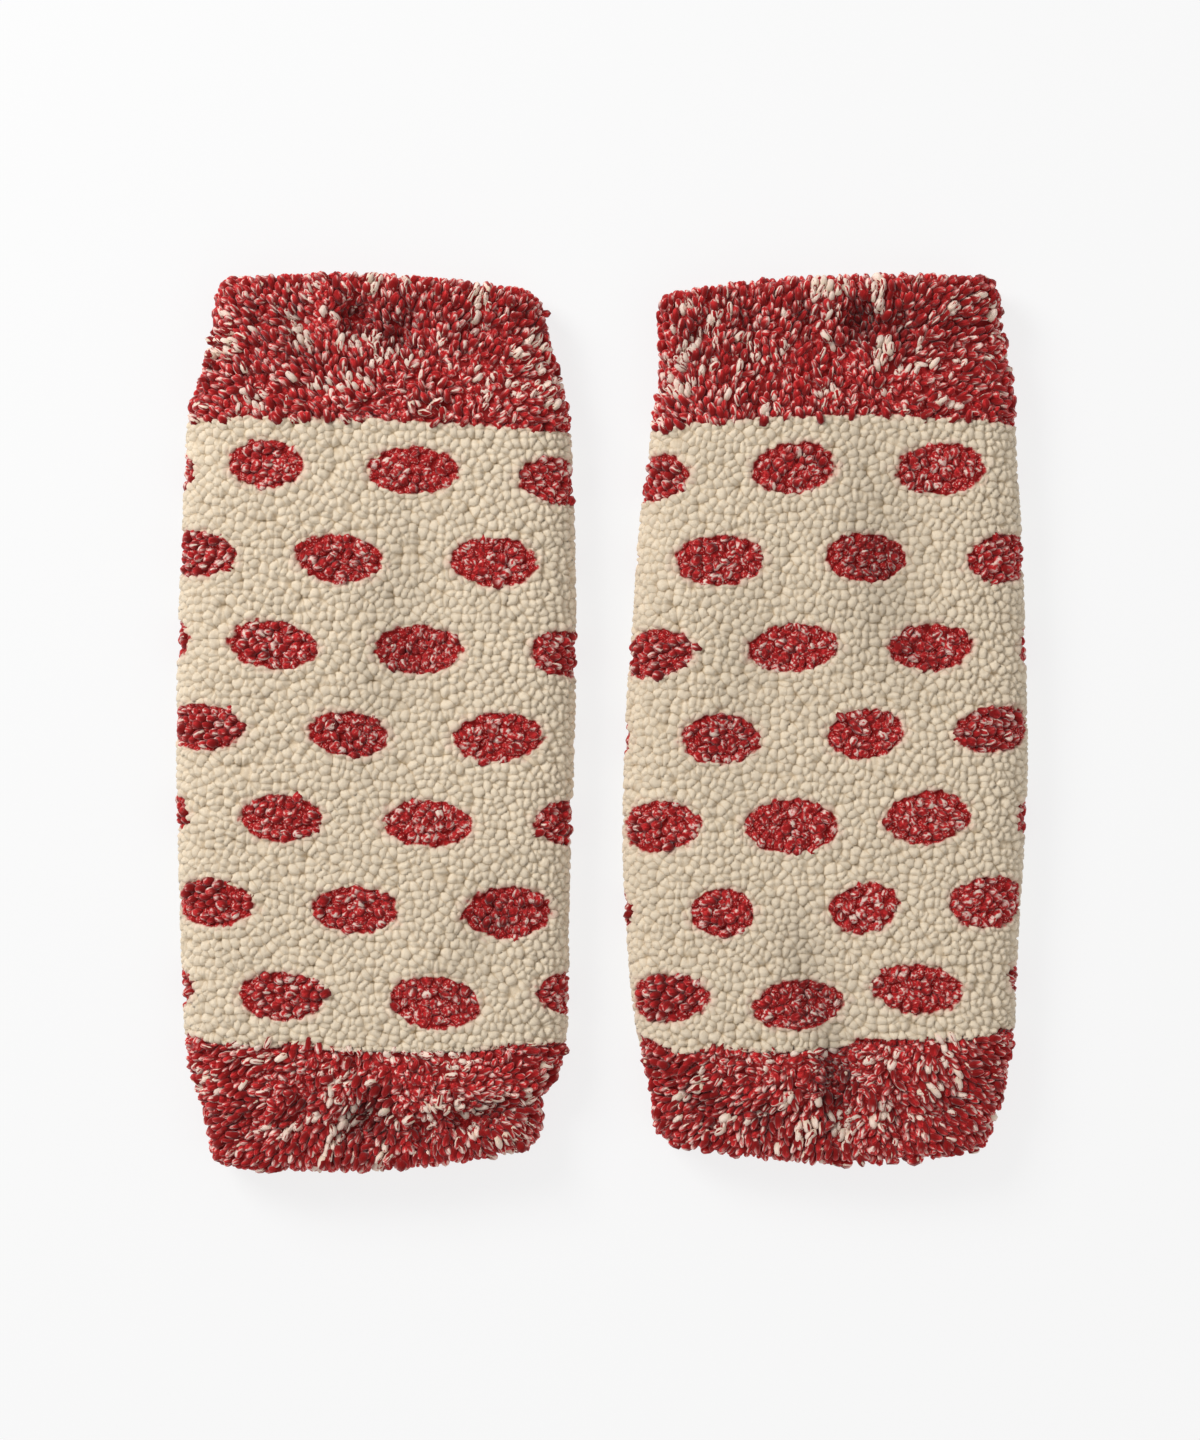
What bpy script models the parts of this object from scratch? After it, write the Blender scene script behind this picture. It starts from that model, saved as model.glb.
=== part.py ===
"""A pair of footless fleece leg warmers laid flat side by side, +Z up, +Y towards the upper cuffs.

Each leg warmer is a tube of thick looped fleece, flattened on the surface it lies on. It is made of
an upper cuff, a body and a lower cuff. Each cuff ends in a casing: the cloth turned in round an
elastic, which draws the mouth in and puckers the cloth along its stitch line. A wall is the backing
and the pile together, from the inner face to the tips of the pile.
"""

import math
from collections import namedtuple

import bmesh
import bpy

MM = 0.001
COLLECTION = "leg_warmers"

# Heights of the flattened tube above the surface, in millimetres
WALL = 9.5
HOLLOW = 7.0
HEM_HOLLOW = 5.8
BODY_HEIGHT = 25.5
CASING_SWELL = 1.2
WIDEST_LEVEL = 11.0

# The rounding of the tube's sides: the foot's radius, how square the upper corner is, and how much
# of a quarter turn its fine steps take
FOOT_RADIUS = 12.0
UPPER_SQUARENESS = 7.0
SIDE_TURN = math.radians(77.0)

# How far inside the tube's sides the hollow ends
HOLLOW_INSET = 10.5

# The casing at each mouth
CASING = 20.0
TURN_IN = 27.0
LIP = 6.5
GROOVE_DEPTH = 2.2
GROOVE_WIDTH = 4.0

# Pieces stop half of this short of the line they share
SEAM_GAP = 0.4

# How many steps each stretch of a cross-section has, on one half of the tube
FOOT_STEPS = 6
SIDE_STEPS = 8
TOP_STEPS = 14
BODY_ROWS = 24
BODY_INNER_ROWS = 3
LIP_ROWS = 4

# How far from the mouth the rings of the casing lie, outside and inside
CASING_STOPS = (CASING + 6.0, CASING + 2.5, CASING, CASING - 2.5, 14.0, 10.0)
INNER_STOPS = (10.0, TURN_IN - 2.0, TURN_IN)

# Rings between a cuff's seam and its casing
CUFF_ROWS = 5

# Half a tube's outline at one height along it: where its two sides lie
Station = namedtuple("Station", "y left right")

# A mouth: y = middle - bow * (across - peak)^2, where across runs from -1 to 1
Mouth = namedtuple("Mouth", "middle bow peak")

# A line across the tube where two pieces meet: y = middle + tilt * across + bow * across^2
Seam = namedtuple("Seam", "middle tilt bow")

# A soft trough in the upper layer: its middle, direction, half length, half width and depth
Crease = namedtuple("Crease", "x y degrees reach width depth")

LegWarmer = namedtuple("LegWarmer", "side stations upper_mouth lower_mouth upper_seam lower_seam creases")

LEFT = LegWarmer(
    side="left",
    stations=(
        Station(-196.0, -162.5, -31.5),
        Station(-184.0, -165.0, -28.5),
        Station(-174.0, -166.8, -26.0),
        Station(-166.0, -167.5, -25.2),
        Station(-158.0, -170.5, -25.2),
        Station(-150.0, -173.0, -19.5),
        Station(-140.0, -175.4, -15.4),
        Station(-118.0, -177.0, -13.8),
        Station(-70.0, -178.6, -13.4),
        Station(-20.0, -179.8, -11.6),
        Station(30.0, -179.3, -10.6),
        Station(80.0, -177.4, -11.2),
        Station(115.0, -176.0, -12.4),
        Station(132.0, -174.4, -14.0),
        Station(148.0, -169.3, -17.6),
        Station(165.0, -164.8, -22.6),
        Station(178.0, -163.4, -26.0),
        Station(196.0, -162.0, -28.0),
    ),
    upper_mouth=Mouth(189.0, 5.0, -0.25),
    lower_mouth=Mouth(-189.0, -6.7, -0.25),
    upper_seam=Seam(128.3, -3.1, -2.2),
    lower_seam=Seam(-137.6, -1.2, 2.9),
    creases=(
        Crease(-103.7, 169.0, 92.0, 14.0, 5.0, 3.2),
        Crease(-83.0, 165.0, 62.0, 16.0, 4.5, 2.2),
        Crease(-127.0, 161.0, 118.0, 22.0, 6.0, 1.8),
        Crease(-55.0, 166.0, 76.0, 20.0, 6.0, 1.5),
        Crease(-146.0, 170.0, 95.0, 14.0, 5.0, 1.4),
        Crease(-51.0, -165.0, 16.0, 30.0, 5.0, 3.0),
        Crease(-103.0, -168.0, 48.0, 20.0, 5.5, 3.2),
        Crease(-128.0, -162.0, 62.0, 20.0, 6.0, 1.8),
        Crease(-150.0, -167.0, 78.0, 15.0, 5.0, 1.4),
        Crease(-76.0, -172.0, 95.0, 14.0, 4.5, 1.8),
        Crease(-86.0, 34.0, 82.0, 90.0, 15.0, 1.3),
        Crease(-52.0, -92.0, 70.0, 48.0, 11.0, 1.2),
    ),
)

RIGHT = LegWarmer(
    side="right",
    stations=(
        Station(-196.0, 25.0, 160.5),
        Station(-180.0, 24.0, 162.6),
        Station(-170.0, 21.4, 165.2),
        Station(-155.0, 19.8, 169.8),
        Station(-138.0, 16.0, 173.7),
        Station(-120.0, 12.8, 174.8),
        Station(-88.0, 10.0, 176.0),
        Station(-54.0, 8.5, 178.3),
        Station(-20.0, 9.0, 179.8),
        Station(14.0, 10.4, 179.4),
        Station(47.0, 13.0, 178.5),
        Station(81.0, 15.2, 177.2),
        Station(115.0, 19.6, 175.0),
        Station(132.0, 21.2, 174.9),
        Station(148.0, 24.2, 173.2),
        Station(165.0, 23.8, 169.2),
        Station(178.0, 24.4, 168.0),
        Station(196.0, 26.0, 166.0),
    ),
    upper_mouth=Mouth(188.5, 4.6, 0.3),
    lower_mouth=Mouth(-185.6, -8.8, 0.1),
    upper_seam=Seam(130.0, 0.8, -4.2),
    lower_seam=Seam(-137.0, 4.0, 2.0),
    creases=(
        Crease(109.0, 169.0, 88.0, 14.0, 5.0, 3.6),
        Crease(127.5, 165.5, 102.0, 18.0, 5.0, 2.0),
        Crease(37.0, 159.0, 57.0, 26.0, 5.5, 2.5),
        Crease(60.0, 169.0, 80.0, 15.0, 5.0, 1.8),
        Crease(85.0, 171.0, 98.0, 12.0, 4.5, 1.5),
        Crease(150.0, 168.0, 84.0, 15.0, 5.0, 1.6),
        Crease(97.5, -152.0, 92.0, 36.0, 6.0, 4.2),
        Crease(41.0, -162.0, 130.0, 20.0, 5.0, 2.2),
        Crease(68.0, -169.0, 100.0, 14.0, 5.0, 1.8),
        Crease(124.0, -166.0, 84.0, 16.0, 5.0, 1.8),
        Crease(147.0, -160.0, 60.0, 20.0, 6.0, 1.5),
        Crease(119.0, 66.0, 98.0, 80.0, 16.0, 2.0),
        Crease(87.0, -108.0, 101.0, 42.0, 10.0, 1.8),
        Crease(60.0, 20.0, 84.0, 70.0, 14.0, 1.1),
    ),
)

CREAM = (0.60, 0.49, 0.35, 1.0)
RED = (0.26, 0.035, 0.035, 1.0)
FLEECE_ROUGHNESS = 0.95


def clear_scene():
    """Remove every object that the file opened with."""
    for old in list(bpy.data.objects):
        bpy.data.objects.remove(old, do_unlink=True)


def fleece(name, colour):
    """A plain cloth material."""
    material = bpy.data.materials.new(name)
    material.diffuse_color = colour
    material.use_nodes = True
    shader = material.node_tree.nodes["Principled BSDF"]
    shader.inputs["Base Color"].default_value = colour
    shader.inputs["Roughness"].default_value = FLEECE_ROUGHNESS
    shader.inputs["Metallic"].default_value = 0.0
    return material


def smooth(value):
    """A soft step from 0 to 1."""
    t = min(1.0, max(0.0, value))
    return t * t * (3.0 - 2.0 * t)


def curve_through(points, at):
    """The height at one place of a smooth curve through (place, height) pairs in rising order."""
    last = len(points) - 1
    k = next((i for i in range(last) if at < points[i + 1][0]), last - 1)
    before, after = max(k - 1, 0), min(k + 2, last)
    (x0, y0), (x1, y1) = points[k], points[k + 1]
    slope0 = (y1 - points[before][1]) / (x1 - points[before][0])
    slope1 = (points[after][1] - y0) / (points[after][0] - x0)
    span = x1 - x0
    t = min(1.0, max(0.0, (at - x0) / span))
    ease = t * t * (3.0 - 2.0 * t)
    bend = t * (1.0 - t) * ((1.0 - t) * slope0 - t * slope1) * span
    return y0 + (y1 - y0) * ease + bend


def middle_and_half(leg, y):
    """The tube's middle and half its width at one height along it."""
    left = curve_through([(s.y, s.left) for s in leg.stations], y)
    right = curve_through([(s.y, s.right) for s in leg.stations], y)
    return (left + right) / 2, (right - left) / 2


def mouth_y(mouth, across):
    """Where a mouth's edge lies at one place across the tube."""
    return mouth.middle - mouth.bow * (across - mouth.peak) ** 2


def seam_y(seam, across):
    """Where a seam lies at one place across the tube."""
    return seam.middle + seam.tilt * across + seam.bow * across**2


def outer_half(half_width):
    """Half the outer cross-section, from under the middle round the side to above it.

    Each point is (how far out, height as a share of the body's): the share is negative below the
    widest level, where it counts down to the surface."""
    points = []
    flat = half_width - FOOT_RADIUS
    for k in range(FOOT_STEPS):
        points.append((flat * k / FOOT_STEPS, -1.0))
    for k in range(SIDE_STEPS // 2):
        turn = math.pi / 2 * k / (SIDE_STEPS // 2)
        points.append((flat + FOOT_RADIUS * math.sin(turn), -math.cos(turn)))
    for k in range(SIDE_STEPS // 2):
        rise = math.sin(SIDE_TURN * k / (SIDE_STEPS // 2))
        points.append((half_width * (1.0 - rise**2) ** (1.0 / UPPER_SQUARENESS), rise))
    corner, _ = points[-1]
    for k in range(1, TOP_STEPS + 1):
        out = corner * (1.0 - k / TOP_STEPS)
        points.append((out, math.sqrt(1.0 - (out / half_width) ** UPPER_SQUARENESS)))
    return points


def inner_half(half_width, hollow):
    """Half the hollow's cross-section, with as many points as outer_half has: (how far out, height)."""
    floor = WALL + (HOLLOW - hollow) / 2
    radius = hollow / 2
    flat = half_width - HOLLOW_INSET - radius
    points = [(flat * k / FOOT_STEPS, floor) for k in range(FOOT_STEPS)]
    for k in range(SIDE_STEPS):
        turn = math.pi * k / SIDE_STEPS
        points.append((flat + radius * math.sin(turn), floor + radius * (1.0 - math.cos(turn))))
    for k in range(TOP_STEPS + 1):
        points.append((flat * (1.0 - k / TOP_STEPS), floor + hollow))
    return points


def all_round(half):
    """Both sides of a half section, as signed points in order round the tube."""
    return half + [(-out, height) for out, height in reversed(half[1:-1])]


def crease_depth(leg, x, y):
    """How far the upper layer sinks at one place."""
    sink = 0.0
    for crease in leg.creases:
        turn = math.radians(crease.degrees)
        dx, dy = x - crease.x, y - crease.y
        along = (dx * math.cos(turn) + dy * math.sin(turn)) / crease.reach
        beside = (dy * math.cos(turn) - dx * math.sin(turn)) / crease.width
        if abs(along) < 1.0:
            sink += crease.depth * (1.0 - along**2) ** 2 * math.exp(-(beside**2))
    return sink


def casing_rise(from_mouth):
    """How far the upper layer stands above the body's height near a mouth, with the stitched groove."""
    swell = CASING_SWELL * (1.0 - smooth((from_mouth - CASING) / CASING))
    groove = GROOVE_DEPTH * math.exp(-(((from_mouth - CASING) / GROOVE_WIDTH) ** 2))
    return swell - groove


def ring_y(leg, across, lines):
    """Where a ring lies at one place across the tube: lines is (upper, lower, share of the upper)."""
    upper, lower, share = lines
    return lower(across) + (upper(across) - lower(across)) * share


def outer_ring(leg, lines, from_mouth):
    """The outer ring of points on a line across the tube.

    from_mouth gives how far each place is from the nearer mouth, on a cuff."""
    middle_y = ring_y(leg, 0.0, lines)
    _, half_width = middle_and_half(leg, middle_y)
    ring = []
    for out, share in all_round(outer_half(half_width)):
        across = out / half_width
        y = ring_y(leg, across, lines)
        middle, here = middle_and_half(leg, y)
        x = middle + across * here
        if share < 0.0:
            z = WIDEST_LEVEL * (1.0 + share)
        else:
            rise = casing_rise(from_mouth(across)) if from_mouth else 0.0
            top = BODY_HEIGHT + rise - crease_depth(leg, x, y) * smooth(2 * share - 1)
            z = WIDEST_LEVEL + (top - WIDEST_LEVEL) * share
        ring.append((x, y, z))
    return ring


def inner_ring(leg, lines, hollow):
    """The ring of points on the same line on the inside of the wall."""
    middle_y = ring_y(leg, 0.0, lines)
    _, half_width = middle_and_half(leg, middle_y)
    ring = []
    for out, height in all_round(inner_half(half_width, hollow)):
        across = out / half_width
        y = ring_y(leg, across, lines)
        middle, here = middle_and_half(leg, y)
        ring.append((middle + across * here, y, height))
    return ring


def loft(name, rings, material, parent):
    """One closed wall: each ring is joined to the next, and the last to the first."""
    mesh = bpy.data.meshes.new(name)
    shape = bmesh.new()
    rows = [[shape.verts.new([value * MM for value in point]) for point in ring] for ring in rings]
    count = len(rows[0])
    for row, after in zip(rows, rows[1:] + rows[:1]):
        for k in range(count):
            beside = (k + 1) % count
            shape.faces.new((row[k], row[beside], after[beside], after[k]))
    bmesh.ops.recalc_face_normals(shape, faces=shape.faces)
    shape.to_mesh(mesh)
    shape.free()
    mesh.materials.append(material)
    mesh.shade_smooth()
    piece = bpy.data.objects.new(name, mesh)
    bpy.context.scene.collection.children[COLLECTION].objects.link(piece)
    piece.parent = parent
    return piece


def body(leg, material, parent):
    """The stretch between the two cuffs."""
    gap = SEAM_GAP / 2

    def upper(across):
        return seam_y(leg.upper_seam, across) - gap

    def lower(across):
        return seam_y(leg.lower_seam, across) + gap

    def lines(share):
        return upper, lower, share

    outer = [outer_ring(leg, lines(k / BODY_ROWS), None) for k in range(BODY_ROWS + 1)]
    inner = [inner_ring(leg, lines(1 - k / BODY_INNER_ROWS), HOLLOW) for k in range(BODY_INNER_ROWS + 1)]
    return loft(f"{leg.side}_body", outer + inner, material, parent)


def cuff(leg, which, material, parent):
    """The banded end: from its seam line to the mouth, round the lip and back inside."""
    mouth = leg.upper_mouth if which == "upper" else leg.lower_mouth
    seam = leg.upper_seam if which == "upper" else leg.lower_seam
    outward = 1.0 if which == "upper" else -1.0

    def edge(across):
        return mouth_y(mouth, across)

    def at(distance):
        """A line that lies this far inside the mouth."""

        def y_of(across):
            return edge(across) - outward * distance

        return y_of, y_of, 1.0

    def seam_line(across):
        return seam_y(seam, across) + outward * SEAM_GAP / 2

    def away_from_mouth(line):
        def from_mouth(across):
            return outward * (edge(across) - line(across))

        return from_mouth

    def towards_casing(share):
        """A line part of the way from the seam to the casing's first ring."""

        def y_of(across):
            end = edge(across) - outward * CASING_STOPS[0]
            return seam_line(across) + (end - seam_line(across)) * share

        return y_of

    seam_lines = (seam_line, seam_line, 1.0)
    outer = []
    for k in range(CUFF_ROWS):
        line = towards_casing(k / CUFF_ROWS)
        outer.append(outer_ring(leg, (line, line, 1.0), away_from_mouth(line)))
    for stop in CASING_STOPS:
        outer.append(outer_ring(leg, at(stop), lambda across, stop=stop: stop))
    start = outer_ring(leg, at(LIP), lambda across: LIP)
    end = inner_ring(leg, at(LIP), HEM_HOLLOW)
    lip = []
    for k in range(LIP_ROWS + 1):
        turn = math.pi * k / LIP_ROWS
        inwards, reach = (1 - math.cos(turn)) / 2, outward * LIP * math.sin(turn)
        ring = []
        for a, b in zip(start, end):
            x, y, z = (p + (q - p) * inwards for p, q in zip(a, b))
            ring.append((x, y + reach, z))
        lip.append(ring)
    inner = []
    for stop in INNER_STOPS:
        hollow = HOLLOW if stop == TURN_IN else HEM_HOLLOW
        inner.append(inner_ring(leg, at(stop), hollow))
    inner.append(inner_ring(leg, seam_lines, HOLLOW))
    return loft(f"{leg.side}_{which}_cuff", outer + lip + inner, material, parent)


def main():
    """Build both leg warmers, each under an empty of its own."""
    clear_scene()
    collection = bpy.data.collections.new(COLLECTION)
    bpy.context.scene.collection.children.link(collection)
    cream = fleece("cream_fleece", CREAM)
    red = fleece("red_fleece", RED)
    for leg in (LEFT, RIGHT):
        holder = bpy.data.objects.new(f"{leg.side}_leg_warmer", None)
        collection.objects.link(holder)
        body(leg, cream, holder)
        cuff(leg, "upper", red, holder)
        cuff(leg, "lower", red, holder)


main()
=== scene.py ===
"""The looks of a pair of looped fleece leg warmers, laid flat and seen from straight above.

The tables and sizes are in millimetres, +X to the right, +Y towards the upper cuffs and +Z up from
the surface that the pair lies on. The meshes are in metres.
"""

import logging
import math
from collections.abc import Callable
from dataclasses import dataclass, field, fields
from enum import Enum

import bpy
import numpy as np
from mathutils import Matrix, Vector


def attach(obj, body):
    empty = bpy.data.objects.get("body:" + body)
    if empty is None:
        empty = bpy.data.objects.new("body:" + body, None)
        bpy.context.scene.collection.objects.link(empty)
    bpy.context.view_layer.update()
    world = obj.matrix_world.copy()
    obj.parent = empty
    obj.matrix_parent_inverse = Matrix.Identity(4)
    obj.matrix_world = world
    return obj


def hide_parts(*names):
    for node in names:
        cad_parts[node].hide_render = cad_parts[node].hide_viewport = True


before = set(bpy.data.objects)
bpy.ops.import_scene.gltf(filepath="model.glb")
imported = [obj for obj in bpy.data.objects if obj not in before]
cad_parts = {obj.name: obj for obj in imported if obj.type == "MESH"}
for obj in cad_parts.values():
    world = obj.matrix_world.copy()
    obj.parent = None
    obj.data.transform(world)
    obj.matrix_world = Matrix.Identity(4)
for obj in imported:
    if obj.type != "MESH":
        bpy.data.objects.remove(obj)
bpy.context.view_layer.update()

MM = 0.001
WHITE = (1.0, 1.0, 1.0)

log = logging.getLogger("leg_warmers")

Line = Callable[[np.ndarray], np.ndarray]


class End(Enum):
    """The two ends of a leg warmer, each with its way out along Y."""

    UPPER = 1.0
    LOWER = -1.0


class Yarn(Enum):
    """The two yarns of the cloth, each with the record's slot that it belongs to."""

    CREAM = "cream_fleece"
    RED = "red_fleece"


@dataclass(frozen=True)
class Station:
    """Where the tube's two sides lie at one height along it."""

    y: float
    left: float
    right: float


@dataclass(frozen=True)
class Mouth:
    """A mouth's edge: y = middle - bow * (across - peak)^2, where across runs from -1 to 1."""

    middle: float
    bow: float
    peak: float

    def y_at(self, across: np.ndarray) -> np.ndarray:
        """The edge's y at places across the tube."""
        return self.middle - self.bow * (across - self.peak) ** 2


@dataclass(frozen=True)
class Seam:
    """A line where two colours meet: y = middle + tilt * across + bow * across^2."""

    middle: float
    tilt: float
    bow: float

    def y_at(self, across: np.ndarray) -> np.ndarray:
        """The line's y at places across the tube."""
        return self.middle + self.tilt * across + self.bow * across**2


@dataclass(frozen=True)
class Crease:
    """A soft trough in the upper layer: its middle, direction, half length, half width and depth."""

    x: float
    y: float
    degrees: float
    reach: float
    width: float
    depth: float


@dataclass(frozen=True)
class Dot:
    """A red dot, placed round the cloth from the middle of the upper layer, and along the tube."""

    around: float
    along: float
    half_width: float
    half_height: float
    degrees: float


@dataclass(frozen=True)
class Fleck:
    """A place in a red band where cream tufts stand together."""

    x: float
    y: float
    length: float
    width: float
    degrees: float


@dataclass(frozen=True)
class Stroke:
    """A place where the pile is combed one way: the lean at its middle, fading over its reach."""

    x: float
    y: float
    reach: float
    lean_x: float
    lean_y: float


@dataclass(frozen=True)
class Cut:
    """One leg warmer's outline, folds and pattern as it lies."""

    side: str
    stations: tuple[Station, ...]
    mouths: dict[End, Mouth]
    seams: dict[End, Seam]
    creases: tuple[Crease, ...]
    dots: tuple[Dot, ...]
    repeat: float
    flecks: tuple[Fleck, ...]
    strokes: tuple[Stroke, ...]
    lower_line: tuple[tuple[float, float], ...]

    def middle_and_half(self, y: np.ndarray) -> tuple[np.ndarray, np.ndarray]:
        """The tube's middle and half its width.

        Args:
            y: heights along the tube.
        Returns:
            The middle's x and half the width at each of them.
        """
        places = np.array([s.y for s in self.stations])
        left = curve_through(places, np.array([s.left for s in self.stations]), y)
        right = curve_through(places, np.array([s.right for s in self.stations]), y)
        return (left + right) / 2, (right - left) / 2

    def crease_depth(self, x: np.ndarray, y: np.ndarray) -> np.ndarray:
        """How far the upper layer sinks.

        Args:
            x, y: places on the upper layer.
        Returns:
            The depth at each place.
        """
        sink = np.zeros_like(x)
        for crease in self.creases:
            along, beside = turned(x - crease.x, y - crease.y, crease.degrees)
            length = np.clip(1.0 - (along / crease.reach) ** 2, 0.0, 1.0) ** 2
            sink += crease.depth * length * np.exp(-((beside / crease.width) ** 2))
        return np.minimum(PARTING * sink, DEEPEST)

    def all_dots(self, half_round: float) -> list[Dot]:
        """The charted dots, and those that carry each row on round the hidden sides.

        Args:
            half_round: the distance round the cloth from the upper middle to the lower middle.
        Returns:
            Every dot of the cloth.
        """
        rows: dict[int, list[Dot]] = {}
        for dot in self.dots:
            rows.setdefault(round(dot.along / ROW_PITCH), []).append(dot)
        found = list(self.dots)
        for row in rows.values():
            row.sort(key=lambda dot: dot.around)
            for edge, step in ((row[0], -1), (row[-1], 1)):
                around = edge.around + step * self.repeat
                while abs(around) < half_round:
                    found.append(Dot(around, edge.along, DOT_HALF_WIDTH, DOT_HALF_HEIGHT, 0.0))
                    around += step * self.repeat
        return found

    def dot_distance(self, around: np.ndarray, y: np.ndarray, half_round: float) -> np.ndarray:
        """How far places lie outside the nearest dot's edge, negative inside it.

        Args:
            around, y: places on the cloth.
            half_round: half the way round the cloth.
        Returns:
            The distances, in about millimetres.
        """
        nearest = np.full_like(around, FAR)
        for dot in self.all_dots(half_round):
            along, beside = turned(around - dot.around, y - dot.along, dot.degrees)
            share = np.hypot(along / dot.half_width, beside / dot.half_height)
            nearest = np.minimum(nearest, (share - 1.0) * dot.half_height)
        return nearest

    def above_line(self, x: np.ndarray, y: np.ndarray) -> np.ndarray:
        """How far places of the upper layer lie above the wavy line where the lower red begins."""
        return y - np.interp(x, *np.array(self.lower_line).T)

    def fleck_share(self, x: np.ndarray, y: np.ndarray) -> np.ndarray:
        """How surely the tufts at places are cream.

        Args:
            x, y: places on the upper layer.
        Returns:
            The share of cream at each, from 0 to 1.
        """
        most = np.zeros_like(x)
        for fleck in self.flecks:
            along, beside = turned(x - fleck.x, y - fleck.y, fleck.degrees)
            share = np.hypot(along / (fleck.length / 2), beside / (fleck.width / 2))
            most = np.maximum(most, np.clip(FLECK_CORE - FLECK_FALL * share**2, 0.0, 1.0))
        return most

    def combing(self, x: np.ndarray, y: np.ndarray) -> np.ndarray:
        """The lean that the strokes give.

        Args:
            x, y: places on the cloth.
        Returns:
            The lean at each, with X, Y and Z last.
        """
        lean = np.zeros(x.shape + (3,))
        for stroke in self.strokes:
            near = np.exp(-((x - stroke.x) ** 2 + (y - stroke.y) ** 2) / stroke.reach**2)
            lean[..., 0] += stroke.lean_x * near
            lean[..., 1] += stroke.lean_y * near
        return lean


def table_of(kind: type, rows: tuple[tuple[float, ...], ...]) -> tuple:
    """A table's rows, each as one of a kind whose fields name the columns."""
    return tuple(kind(*map(float, row)) for row in rows)


FAR = 99.0
ALMOST_NOTHING = 1e-9
PARTING = 1.5
DEEPEST = 6.0
ROW_PITCH = 36.5
DOT_HALF_WIDTH = 18.5
DOT_HALF_HEIGHT = 9.9
FLECK_CORE = 1.7
FLECK_FALL = 0.6

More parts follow.
